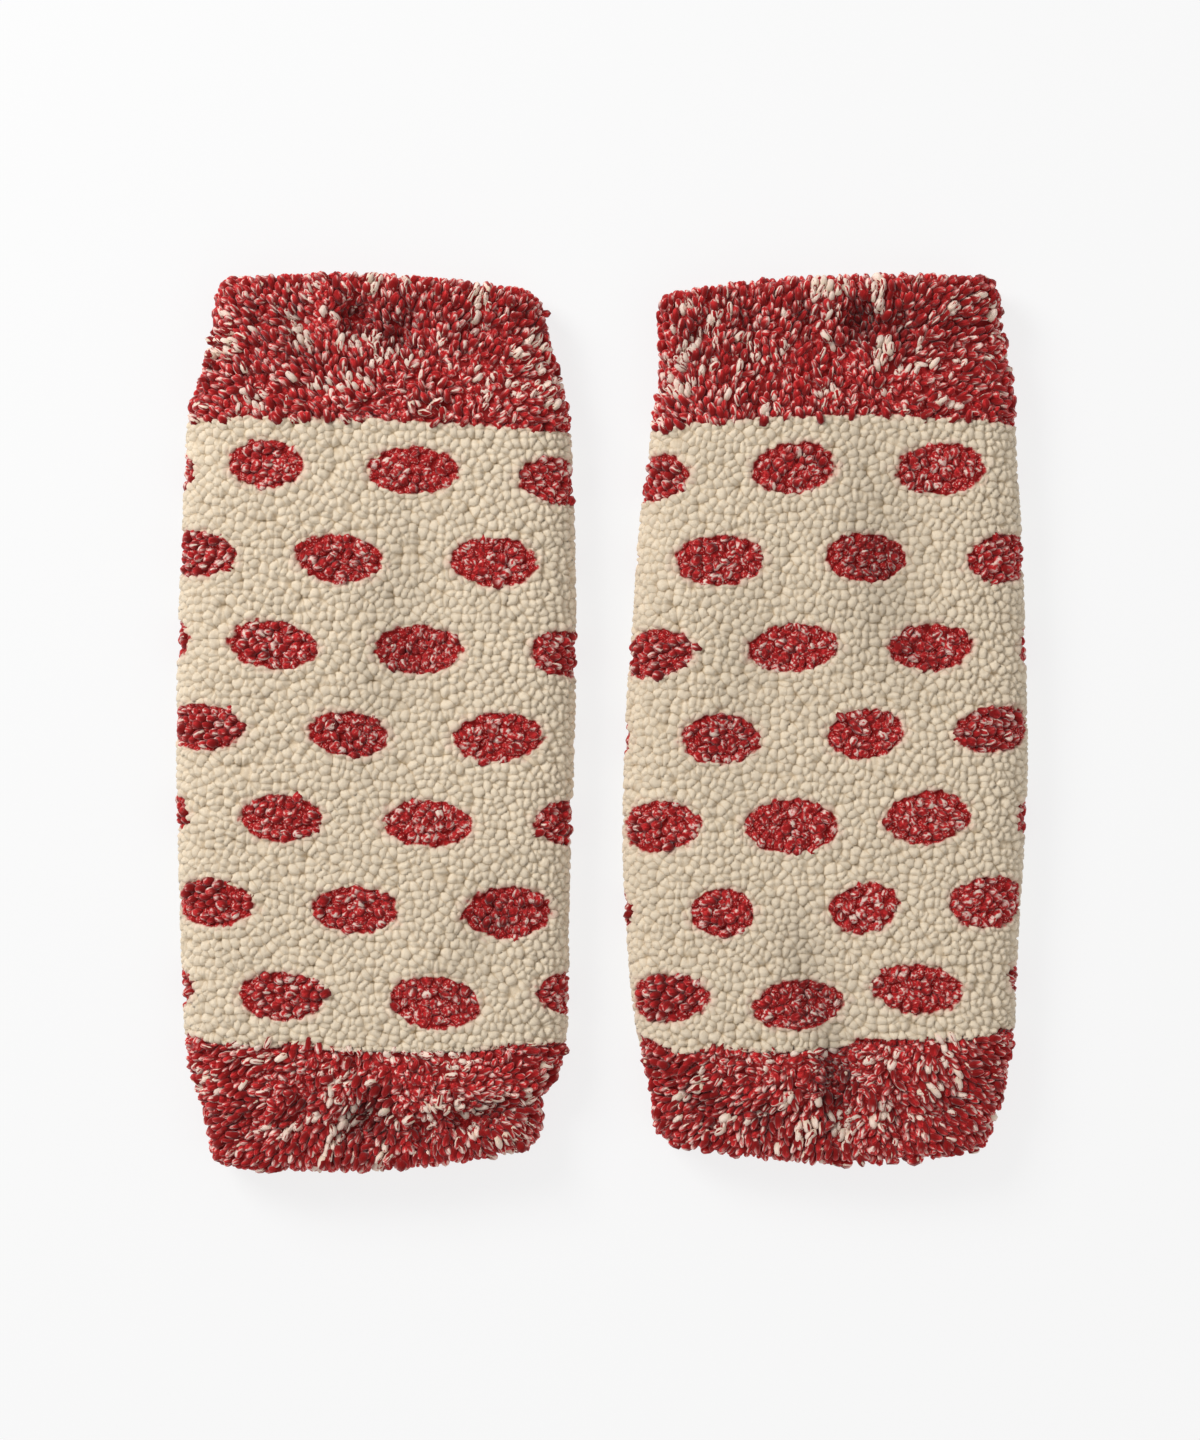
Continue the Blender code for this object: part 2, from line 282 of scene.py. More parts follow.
LEFT = Cut(
    side="left",
    stations=table_of(Station, (
        (-196, -162.5, -31.5), (-184, -165, -28.5), (-174, -166.8, -26), (-166, -167.5, -25.2),
        (-158, -170.5, -25.2), (-150, -173, -19.5), (-140, -175.4, -15.4), (-118, -177, -13.8),
        (-70, -178.6, -13.4), (-20, -179.8, -11.6), (30, -179.3, -10.6), (80, -177.4, -11.2),
        (115, -176, -12.4), (132, -174.4, -14), (148, -169.3, -17.6), (165, -164.8, -22.6),
        (178, -163.4, -26), (196, -162, -28),
    )),
    mouths={End.UPPER: Mouth(189.0, 5.0, -0.25), End.LOWER: Mouth(-189.0, -6.7, -0.25)},
    seams={End.UPPER: Seam(128.3, -3.1, -2.2), End.LOWER: Seam(-137.6, -1.2, 2.9)},
    creases=table_of(Crease, (
        (-103.7, 169, 92, 14, 5, 3.2), (-92, 166, 150, 26, 7, 1.6), (-83, 165, 62, 16, 4.5, 2.2),
        (-127, 161, 118, 22, 6, 1.8), (-55, 166, 76, 20, 6, 1.5), (-146, 170, 95, 14, 5, 1.4),
        (-51, -165, 16, 30, 5, 3), (-103, -168, 48, 20, 5.5, 3.2), (-98, -167, 160, 24, 6, 1.8),
        (-128, -162, 62, 20, 6, 1.8), (-150, -167, 78, 15, 5, 1.4), (-76, -172, 95, 14, 4.5, 1.8),
        (-86, 34, 82, 90, 15, 1.3), (-52, -92, 70, 48, 11, 1.2),
    )),
    dots=table_of(Dot, (
        (-98.7, 106, 19, 10, 0), (-46.5, 108.1, 15.5, 10.2, -2), (15.1, 105.6, 19, 9.8, -1),
        (78, 101.4, 19, 9.8, -6), (-78.3, 70.8, 19, 9.6, -4), (-15.8, 68.7, 18.3, 10.3, -7),
        (49.4, 67.4, 18.3, 10.3, -4), (-99.4, 34.6, 19, 10, 0), (-42.9, 32.5, 18.5, 10.2, -8),
        (18.1, 30.4, 18.5, 10, -2), (84.2, 28.8, 19, 9.8, -4), (-73.9, -1.9, 19, 9.8, -4),
        (-10.4, -4.8, 16.8, 9.4, -8), (52.3, -6.1, 19, 10.3, 3), (-98.9, -38, 19, 10, 0),
        (-38.4, -40.1, 17, 10, -2), (23, -42.2, 18.7, 9.8, -4), (87.6, -42.2, 19, 9.6, -2),
        (-68.8, -75.8, 19, 9.6, -3), (-7.2, -78.3, 17.9, 9.8, -3), (56.7, -79.6, 18.7, 10.8, 3),
        (-97.2, -111.5, 19, 10, 0), (-38.5, -114.5, 17.6, 10, -2), (25.3, -117, 18.9, 10.8, -7),
        (87.3, -114, 19, 9, -2),
    )),
    repeat=62.0,
    flecks=table_of(Fleck, (
        (-128, 166, 18, 4.2, -60), (-100, 162, 15, 5, 5), (-93, 154, 10, 3.8, 40),
        (-79, 154, 8, 3.4, 42), (-118, 143, 11, 3.8, -8), (-102, 144, 8, 4.2, -12),
        (-147, 137, 8, 6.3, 0), (-162, 158, 5, 10.5, 90), (-94, 187, 6, 3.4, 90),
        (-122, 182, 6, 2.9, 90), (-149, 152, 4, 3.8, 0), (-158, 161, 6, 4.2, 30),
        (-83, 187, 6, 2.5, 90), (-51, 178, 17, 3.4, 90), (-26, 161, 8, 5, -40),
        (-31, 153, 16, 3.8, -35), (-27, 142, 20, 4.6, 6), (-71, 133, 10, 4.6, -25),
        (-51, 148, 10, 2.1, -48), (-53, 141, 5, 2.5, -30), (-48, 136, 6, 3.4, 90),
        (-67, 162, 6, 2.5, -40), (-19, 134, 5, 3.4, 0), (-116, 173, 7, 2.5, -50),
        (-142, -141, 12, 3.4, 10), (-164, -149, 5, 3.8, 0), (-113, -149, 13, 3.4, -25),
        (-113, -159, 6, 4.2, 30), (-121, -165, 8, 2.5, 50), (-112, -176, 25, 4.2, 57),
        (-132, -173, 9, 3.4, 40), (-58, -144, 14, 3.4, 32), (-63, -161, 19, 2.5, 12),
        (-43, -159, 13, 2.5, 35), (-30, -159, 8, 4.2, 60), (-54, -167, 5, 4.2, 0),
        (-72, -169, 8, 3.4, 90), (-87, -168, 8, 5, -45), (-96, -164, 6, 3.4, 0),
        (-94, -187, 6, 4.2, 90), (-83, -186, 6, 2.1, 90), (-31, -172, 10, 2.5, 50),
        (-39, -180, 7, 3.8, 90), (-171, -151, 6, 4.2, 90),
    )),
    strokes=table_of(Stroke, (
        (-150, 60, 55, -0.55, -0.05), (-150, -60, 60, -0.55, -0.1), (-145, 160, 34, -0.35, 0.45),
        (-80, 178, 34, 0.05, 0.55), (-35, 165, 30, 0.25, 0.3), (-110, 140, 24, -0.25, 0.2),
        (-35, 20, 50, 0.15, 0), (-40, -100, 46, 0.05, 0.25), (-150, -165, 34, -0.5, -0.25),
        (-105, -185, 26, -0.2, -0.55), (-50, -180, 26, 0.15, -0.5), (-50, -150, 22, 0.3, 0.15),
    )),
    lower_line=(
        (-175.0, -131.5), (-168.0, -133.3), (-156.0, -138.0), (-149.0, -137.8), (-134.0, -135.2),
        (-122.0, -135.6), (-107.0, -138.4), (-92.0, -140.7), (-62.0, -141.0), (-50.0, -137.3),
        (-39.0, -135.6), (-20.0, -134.6),
    ),
)

RIGHT = Cut(
    side="right",
    stations=table_of(Station, (
        (-196, 25, 160.5), (-180, 24, 162.6), (-170, 21.4, 165.2), (-155, 19.8, 169.8),
        (-138, 16, 173.7), (-120, 12.8, 174.8), (-88, 10, 176), (-54, 8.5, 178.3), (-20, 9, 179.8),
        (14, 10.4, 179.4), (47, 13, 178.5), (81, 15.2, 177.2), (115, 19.6, 175), (132, 21.2, 174.9),
        (148, 24.2, 173.2), (165, 23.8, 169.2), (178, 24.4, 168), (196, 26, 166),
    )),
    mouths={End.UPPER: Mouth(188.5, 4.6, 0.3), End.LOWER: Mouth(-185.6, -8.8, 0.1)},
    seams={End.UPPER: Seam(130.0, 0.8, -4.2), End.LOWER: Seam(-137.0, 4.0, 2.0)},
    creases=table_of(Crease, (
        (109, 169, 88, 14, 5, 3.6), (112, 168, 165, 26, 6, 2), (127.5, 165.5, 102, 18, 5, 2),
        (37, 159, 57, 26, 5.5, 2.5), (60, 169, 80, 15, 5, 1.8), (85, 171, 98, 12, 4.5, 1.5),
        (150, 168, 84, 15, 5, 1.6), (97.5, -152, 92, 36, 6, 4.2), (41, -162, 130, 20, 5, 2.2),
        (68, -169, 100, 14, 5, 1.8), (124, -166, 84, 16, 5, 1.8), (147, -160, 60, 20, 6, 1.5),
        (119, 66, 98, 80, 16, 2), (87, -108, 101, 42, 10, 1.8), (60, 20, 84, 70, 14, 1.1),
    )),
    dots=table_of(Dot, (
        (-78.4, 102.7, 18, 9.8, 5), (-16.6, 106.5, 17.4, 10.7, 5), (44.8, 106, 18.7, 10.8, 2),
        (-47.1, 67.8, 18.7, 10.5, 2), (14.4, 69.1, 16.8, 10.3, -5), (74.4, 69.1, 18, 9.9, 7),
        (-75.1, 28.8, 18, 10, 6), (-15.5, 31.3, 18.9, 10, 3.5), (42.4, 31.7, 17.2, 9.9, 1),
        (-45, -6.9, 16.4, 10.4, 1), (15.8, -4.8, 16, 10.4, 7), (71.2, -2.7, 18, 9.6, 7),
        (-70.6, -43.5, 18, 10.6, 2), (-14.5, -43.5, 19.5, 11.3, -1), (42.5, -39.7, 17.9, 11, 6),
        (-42.5, -79.6, 13.7, 10.2, 1), (16.5, -77.9, 14.7, 10.2, 10), (70.2, -75.4, 18, 10.8, 4),
        (-67.2, -115.7, 18, 10.1, 4), (-11.9, -118.2, 18.9, 10.5, 5), (38.7, -111.5, 18.9, 10.4, -4),
        (98.2, -108.1, 18, 9, 0),
    )),
    repeat=59.5,
    flecks=table_of(Fleck, (
        (92, 183, 9, 7.6, 0), (101, 185, 6, 2.1, 90), (116, 182, 13, 3.4, -75), (117, 173, 6, 2.5, 0),
        (49, 170, 16, 2.9, 62), (43, 177, 6, 2.9, 60), (37, 159, 24, 4.2, 51), (31, 142, 13, 4.2, 12),
        (61, 161, 5, 4.2, 90), (65, 154, 18, 2.5, 10), (44, 151, 8, 3.4, 10), (117, 157, 10, 8.4, 60),
        (125, 151, 10, 3.8, 45), (133, 161, 7, 2.9, 80), (141, 151, 18, 2.9, 8), (147, 173, 7, 2.9, 90),
        (94, 161, 10, 2.9, -53), (78, 159, 8, 2.5, -50), (95, 140, 8, 4.2, 0), (97, 174, 6, 3.4, 0),
        (70, 134, 8, 3.4, 55), (120, 140, 7, 2.9, 0), (145, 136, 10, 5, -10), (164, 177, 8, 2.9, -70),
        (34, 178, 5, 3.4, 40), (121, -141, 5, 4.2, 0), (144, -140, 9, 4.2, 90), (137, -146, 7, 3.4, 0),
        (109, -143, 8, 2.5, 0), (121, -146, 5, 3.4, 0), (101, -171, 13, 8.4, 85), (118, -167, 7, 5, 60),
        (86, -173, 11, 5.9, 50), (91, -159, 7, 3.4, -50), (64, -167, 8, 3.4, 30),
        (74, -161, 11, 2.9, 25), (139, -155, 7, 5.9, 30), (152, -155, 5, 4.2, 0),
        (134, -166, 8, 3.4, 20), (149, -164, 6, 3.4, 0), (70, -142, 7, 3.4, 40), (40, -148, 8, 2.9, 40),
        (31, -159, 7, 3.4, 30), (48, -170, 8, 3.4, 50),
    )),
    strokes=table_of(Stroke, (
        (45, 165, 34, 0.3, 0.5), (100, 180, 34, 0, 0.55), (150, 160, 34, 0.35, 0.15),
        (90, 118, 34, 0, 0.45), (35, 118, 30, -0.15, 0.45), (30, 20, 50, -0.35, 0),
        (160, 0, 50, 0.3, 0), (30, -90, 40, -0.3, -0.15), (95, -125, 30, -0.3, 0.1),
        (45, -165, 34, -0.35, -0.25), (95, -185, 28, 0, -0.6), (150, -165, 32, 0.3, -0.3),
    )),
    lower_line=(
        (16.0, -132.0), (22.0, -134.4), (33.0, -140.6), (42.0, -137.5), (52.0, -136.6), (64.0, -138.2),
        (75.0, -139.3), (97.0, -138.8), (101.0, -136.0), (107.0, -131.7), (120.0, -132.6),
        (135.0, -133.9), (156.0, -134.0), (163.0, -131.3), (172.0, -129.0),
    ),
)


def turned(dx: np.ndarray, dy: np.ndarray, degrees: float) -> tuple[np.ndarray, np.ndarray]:
    """Offsets along and beside a direction.

    Args:
        dx, dy: offsets along X and Y.
        degrees: the direction, from +X towards +Y.
    Returns:
        The offsets along the direction and beside it.
    """
    turn = math.radians(degrees)
    return dx * math.cos(turn) + dy * math.sin(turn), dy * math.cos(turn) - dx * math.sin(turn)


def smooth(value: np.ndarray) -> np.ndarray:
    """A soft step from 0 to 1."""
    t = np.clip(value, 0.0, 1.0)
    return t * t * (3.0 - 2.0 * t)


def curve_through(places: np.ndarray, heights: np.ndarray, at: np.ndarray) -> np.ndarray:
    """A smooth curve through a table.

    Args:
        places, heights: the table, with its places in rising order.
        at: where the curve is read.
    Returns:
        The curve's height at each of them.
    """
    last = len(places) - 1
    k = np.clip(np.searchsorted(places, at, side="right") - 1, 0, last - 1)
    before, after = np.maximum(k - 1, 0), np.minimum(k + 2, last)
    slope0 = (heights[k + 1] - heights[before]) / (places[k + 1] - places[before])
    slope1 = (heights[after] - heights[k]) / (places[after] - places[k])
    span = places[k + 1] - places[k]
    t = np.clip((at - places[k]) / span, 0.0, 1.0)
    bend = t * (1.0 - t) * ((1.0 - t) * slope0 - t * slope1) * span
    return heights[k] + (heights[k + 1] - heights[k]) * smooth(t) + bend


@dataclass(frozen=True)
class Section:
    """The flattened tube's cross-section and casings."""

    height: float = 25.5
    widest: float = 11.0
    foot_radius: float = 12.0
    squareness: float = 7.0
    side_turn: float = math.radians(77.0)
    wall: float = 9.5
    hollow: float = 7.0
    hem_hollow: float = 5.8
    hollow_inset: float = 10.5
    casing: float = 20.0
    turn_in: float = 27.0
    lip: float = 6.5
    swell: float = 1.2
    groove_depth: float = 1.5
    groove_width: float = 4.0
    foot_steps: int = 12
    arc_steps: int = 8
    side_steps: int = 14
    top_steps: int = 26
    even: bool = False
    even_fineness: int = 10

    def half_outline(self, half_width: float) -> tuple[np.ndarray, np.ndarray]:
        """Half the outline, from under the middle round the side to above it.

        Args:
            half_width: half the tube's width.
        Returns:
            How far out each point lies, and its height as a share: from -1 at the surface to 0 at
            the widest level and 1 at the top.
        """
        flat = half_width - self.foot_radius
        turn = np.linspace(0.0, math.pi / 2, self.arc_steps, endpoint=False)
        upper_out, upper_share = self.upper_outline(half_width)
        out = np.concatenate([
            np.linspace(0.0, flat, self.foot_steps, endpoint=False),
            flat + self.foot_radius * np.sin(turn),
            upper_out,
        ])
        return out, np.concatenate([np.full(self.foot_steps, -1.0), -np.cos(turn), upper_share])

    def upper_outline(self, half_width: float) -> tuple[np.ndarray, np.ndarray]:
        """The outline from the widest level to above the middle.

        Args:
            half_width: half the tube's width.
        Returns:
            How far out each point lies, and its height as a share.
        """
        if self.even:
            columns = self.side_steps + self.top_steps
            rise = np.sin(np.linspace(0.0, math.pi / 2, self.even_fineness * columns))
            out = half_width * (1.0 - rise**2) ** (1.0 / self.squareness)
            steps = np.hypot(np.diff(out), np.diff(rise) * (self.height - self.widest))
            length = np.append(0.0, np.cumsum(steps))
            at = np.linspace(0.0, length[-1], columns + 1)
            return np.interp(at, length, out), np.interp(at, length, rise)
        rise = np.sin(np.linspace(0.0, self.side_turn, self.side_steps, endpoint=False))
        corner = half_width * math.cos(self.side_turn) ** (2.0 / self.squareness)
        top = np.linspace(corner, 0.0, self.top_steps + 1)
        out = np.append(half_width * (1.0 - rise**2) ** (1.0 / self.squareness), top)
        return out, np.append(rise, np.sqrt(1.0 - (top / half_width) ** self.squareness))

    def half_hollow(self, half_width: float, hollow: float) -> tuple[np.ndarray, np.ndarray]:
        """Half the hollow's outline, with as many points as the outer one has.

        Args:
            half_width: half the tube's width.
            hollow: the hollow's height.
        Returns:
            How far out each point lies, and its height.
        """
        floor = self.wall + (self.hollow - hollow) / 2
        radius = hollow / 2
        flat = half_width - self.hollow_inset - radius
        steps = self.arc_steps + self.side_steps
        turn = np.linspace(0.0, math.pi, steps, endpoint=False)
        out = np.concatenate([
            np.linspace(0.0, flat, self.foot_steps, endpoint=False),
            flat + radius * np.sin(turn),
            np.linspace(flat, 0.0, self.top_steps + 1),
        ])
        height = np.concatenate([
            np.full(self.foot_steps, floor),
            floor + radius * (1.0 - np.cos(turn)),
            np.full(self.top_steps + 1, floor + hollow),
        ])
        return out, height

    def level(self, share: np.ndarray, top: np.ndarray) -> np.ndarray:
        """The height of each share of the outline, under a given top."""
        return self.widest + np.where(share < 0.0, self.widest, top - self.widest) * share

    def casing_rise(self, from_mouth: np.ndarray) -> np.ndarray:
        """How far the upper layer stands up near a mouth, with the stitched groove.

        Args:
            from_mouth: distances from the mouth.
        Returns:
            The rise at each.
        """
        swell = self.swell * (1.0 - smooth((from_mouth - self.casing) / self.casing))
        groove = self.groove_depth * np.exp(-(((from_mouth - self.casing) / self.groove_width) ** 2))
        return swell - groove


@dataclass
class Rings:
    """Rings of points round a tube, row by row along it.

    Attributes:
        points: rows by columns by X, Y, Z.
        around: each point's distance round the cloth from the middle of the upper layer.
        pile: how deep the pile is at each point before the foot presses it.
    """

    points: list[np.ndarray]
    around: list[np.ndarray]
    pile: list[float]

    def add(self, points: np.ndarray, around: np.ndarray, pile: float) -> None:
        """Add one ring.

        Args:
            points: the ring's points.
            around: how far round the cloth each lies.
            pile: how deep the pile is on it.
        """
        self.points.append(points)
        self.around.append(around)
        self.pile.append(pile)

    def stacked(self) -> tuple[np.ndarray, np.ndarray, np.ndarray]:
        """The rings as arrays: points, places round the cloth, and depths of pile."""
        around = np.array(self.around)
        return np.array(self.points), around, np.repeat(np.array(self.pile)[:, None], around.shape[1], 1)


def both_sides(half: np.ndarray, sign: float) -> np.ndarray:
    """A half section's values for the whole round: the other side's are multiplied by sign."""
    return np.concatenate([half, sign * half[-2:0:-1]])


@dataclass(frozen=True)
class Pile:
    """How deep the pile is, in different places."""

    deep: float = 2.2
    lip: float = 2.0
    mouth: float = 1.6
    mouth_reach: float = 14.0
    pressed_under: float = 5.0
    pressed_from: float = 0.5
    root: float = 3.0
    lowest_tip: float = 1.6

    def pressed(self, depth: np.ndarray, height: np.ndarray) -> np.ndarray:
        """The depth that is left where the tube's weight presses the pile.

        Args:
            depth: the free depth.
            height: the height of the tips above the surface.
        Returns:
            The depth at each place.
        """
        return depth * smooth((height - self.pressed_from) / self.pressed_under)


@dataclass(frozen=True)
class Tube:
    """One leg warmer's surfaces, worked out from its cut and the section."""

    cut: Cut
    section: Section
    pile: Pile
    seam_gap: float = 0.4
    row_step: float = 2.8
    lip_steps: int = 8
    seam_rows: int = 13
    inner_rows: int = 9
    casing_margin: float = 6.0
    casing_crowding: float = 0.75
    lip_blend: float = 8.0
    piled_stops: tuple[float, ...] = (8.0, 10.0, 14.0)
    bare_stops: tuple[float, ...] = (20.0, 25.0, 27.0)

    def outer_ring(self, line: Line, from_mouth: Line | None) -> tuple[np.ndarray, np.ndarray]:
        """The ring of the pile's tips on a line across the tube.

        Args:
            line: gives y at places across the tube.
            from_mouth: gives the distance from the nearer mouth there, on a cuff.
        Returns:
            The points, and how far round the cloth each lies.
        """
        section = self.section
        _, half_width = self.cut.middle_and_half(line(np.zeros(1)))
        out, share = section.half_outline(float(half_width[0]))
        flat_top = section.level(share, np.full_like(share, section.height))
        steps = np.hypot(np.diff(out), np.diff(flat_top))
        around = both_sides(np.append(np.cumsum(steps[::-1])[::-1], 0.0), -1.0)
        across = both_sides(out, -1.0) / half_width
        share = both_sides(share, 1.0)
        y = line(across)
        middle, here = self.cut.middle_and_half(y)
        x = middle + across * here
        rise = section.casing_rise(from_mouth(across)) if from_mouth else 0.0
        top = section.height + rise - self.cut.crease_depth(x, y) * smooth(2.0 * share - 1.0)
        return np.stack([x, y, section.level(share, top)], axis=1), around

    def inner_ring(self, line: Line, hollow: float) -> np.ndarray:
        """The ring round the hollow on a line across the tube.

        Args:
            line: gives y at places across the tube.
            hollow: the hollow's height there.
        Returns:
            The points.
        """
        _, half_width = self.cut.middle_and_half(line(np.zeros(1)))
        out, height = self.section.half_hollow(float(half_width[0]), hollow)
        across = both_sides(out, -1.0) / half_width
        y = line(across)
        middle, here = self.cut.middle_and_half(y)
        return np.stack([middle + across * here, y, both_sides(height, 1.0)], axis=1)

    def body_rings(self) -> tuple[Rings, list[np.ndarray]]:
        """The body's surface.

        Returns:
            The outer rings from the upper seam down, and the inner ones back up.
        """
        gap = self.seam_gap / 2
        upper, lower = self.cut.seams[End.UPPER], self.cut.seams[End.LOWER]
        rows = round((upper.middle - lower.middle) / self.row_step)

        def line(share: float) -> Line:
            """The line this share of the way down."""
            return lambda a: (upper.y_at(a) - gap) * (1.0 - share) + (lower.y_at(a) + gap) * share

        rings = Rings([], [], [])
        for share in np.linspace(0.0, 1.0, rows + 1):
            rings.add(*self.outer_ring(line(share), None), self.pile.deep)
        back = np.linspace(1.0, 0.0, self.inner_rows)
        return rings, [self.inner_ring(line(share), self.section.hollow) for share in back]

    def cuff_rings(self, end: End) -> tuple[Rings, list[np.ndarray]]:
        """A cuff's surface.

        Args:
            end: which cuff.
        Returns:
            The rings that bear pile, from the seam round the lip into the mouth, and the inner
            ones from there back to the seam.
        """
        section, pile, out = self.section, self.pile, end.value
        mouth, seam = self.cut.mouths[end], self.cut.seams[end]
        first = section.casing + self.casing_margin

        def at(distance: float) -> Line:
            """The line this far inside the mouth."""
            return lambda a: mouth.y_at(a) - out * distance

        def near_seam(share: float) -> Line:
            """The line this share of the way from the seam to the casing."""
            start = out * self.seam_gap / 2
            return lambda a: (seam.y_at(a) + start) * (1.0 - share) + at(first)(a) * share

        rings = Rings([], [], [])
        for share in np.linspace(0.0, 1.0, self.seam_rows, endpoint=False):
            line = near_seam(share)
            rings.add(*self.outer_ring(line, lambda a, n=line: out * (mouth.y_at(a) - n(a))), pile.deep)
        count = round((first - section.lip) / (self.row_step * self.casing_crowding))
        for stop in np.linspace(first, section.lip, 1 + count):
            share = float(smooth(np.array((stop - section.lip) / self.lip_blend)))
            depth = pile.lip + (pile.deep - pile.lip) * share
            rings.add(*self.outer_ring(at(stop), lambda a, s=stop: np.full_like(a, s)), depth)
        start, around = rings.points[-1], rings.around[-1]
        finish = self.inner_ring(at(section.lip), section.hem_hollow)
        for turn in np.linspace(0.0, math.pi, self.lip_steps + 1)[1:]:
            ring = start + (finish - start) * (1.0 - math.cos(turn)) / 2
            ring[:, 1] += out * section.lip * math.sin(turn)
            rings.add(ring, around, pile.lip)
        for stop in self.piled_stops:
            depth = pile.mouth * (1.0 - (stop - section.lip) / (pile.mouth_reach - section.lip))
            rings.add(self.inner_ring(at(stop), section.hem_hollow), around, max(depth, 0.0))
        inner = []
        for stop in self.bare_stops:
            hollow = section.hollow if stop == section.turn_in else section.hem_hollow
            inner.append(self.inner_ring(at(stop), hollow))
        inner.append(self.inner_ring(near_seam(0.0), section.hollow))
        return rings, inner

    def normals(self, points: np.ndarray) -> np.ndarray:
        """Outward directions on a grid that closes round the tube.

        Args:
            points: rows by columns by X, Y, Z.
        Returns:
            A unit vector for each point.
        """
        beside = np.roll(points, -1, axis=1) - np.roll(points, 1, axis=1)
        along = np.gradient(points, axis=0)
        normal = np.cross(beside, along)
        normal /= np.linalg.norm(normal, axis=2, keepdims=True) + ALMOST_NOTHING
        highest = np.argmax(points[0, :, 2])
        return normal if normal[0, highest, 2] > 0.0 else -normal


class Signal:
    """One output of a node. Arithmetic on it adds the Math or Vector Math nodes."""

    def __init__(self, maker: "NodeMaker", socket: bpy.types.NodeSocket) -> None:
        """Wrap an output socket of the maker's tree."""
        self.maker = maker
        self.socket = socket

    def _with(self, operation: str, first: "Signal | float", second: "Signal | float") -> "Signal":
        """Combine two values, in Vector Math where either is a vector.

        Args:
            operation: what the node does.
            first, second: the values.
        Returns:
            The node's output.
        """
        vector = any(isinstance(v, Signal) and v.socket.type in ("VECTOR", "RGBA") for v in (first, second))
        kind = "ShaderNodeVectorMath" if vector else "ShaderNodeMath"
        return self.maker.add(kind, {"operation": operation}, {0: first, 1: second})

    def __add__(self, other: "Signal | float") -> "Signal":
        """self + other."""
        return self._with("ADD", self, other)

    def __radd__(self, other: float) -> "Signal":
        """other + self."""
        return self._with("ADD", other, self)

    def __sub__(self, other: "Signal | float") -> "Signal":
        """self - other."""
        return self._with("SUBTRACT", self, other)

    def __rsub__(self, other: float) -> "Signal":
        """other - self."""
        return self._with("SUBTRACT", other, self)

    def __mul__(self, other: "Signal | float") -> "Signal":
        """self * other."""
        return self._with("MULTIPLY", self, other)

    def __rmul__(self, other: float) -> "Signal":
        """other * self."""
        return self._with("MULTIPLY", other, self)

    def __truediv__(self, other: "Signal | float") -> "Signal":
        """self / other."""
        return self._with("DIVIDE", self, other)

    def __rtruediv__(self, other: float) -> "Signal":
        """other / self."""
        return self._with("DIVIDE", other, self)

    def __gt__(self, other: "Signal | float") -> "Signal":
        """1 where self is greater, else 0."""
        return self._with("GREATER_THAN", self, other)

    def __lt__(self, other: "Signal | float") -> "Signal":
        """1 where self is less, else 0."""
        return self._with("LESS_THAN", self, other)

    def __pow__(self, other: "Signal | float") -> "Signal":
        """self to the power of other."""
        return self._with("POWER", self, other)

    def math(self, operation: str) -> "Signal":
        """The Math node of one number, such as its cosine."""
        return self.maker.add("ShaderNodeMath", {"operation": operation}, {0: self})

    def most(self, other: "Signal | float") -> "Signal":
        """The greater of two values."""
        return self._with("MAXIMUM", self, other)

    def least(self, other: "Signal | float") -> "Signal":
        """The smaller of two values."""
        return self._with("MINIMUM", self, other)

    def step(self, low: float, high: float, start: float = 0.0, end: float = 1.0) -> "Signal":
        """A soft step.

        Args:
            low, high: the values between which it rises.
            start, end: what it gives below and above them.
        Returns:
            The stepped value.
        """
        settings = {"interpolation_type": "SMOOTHSTEP"}
        inputs = {"Value": self, "From Min": low, "From Max": high, "To Min": start, "To Max": end}
        return self.maker.add("ShaderNodeMapRange", settings, inputs)

    def parts(self) -> tuple["Signal", "Signal", "Signal"]:
        """Take a vector apart.

        Returns:
            Its X, Y and Z.
        """
        node = self.maker.node("ShaderNodeSeparateXYZ", {}, {"Vector": self})
        x, y, z = (Signal(self.maker, socket) for socket in node.outputs)
        return x, y, z


Value = Signal | float | int | bool | str | tuple | bpy.types.ID


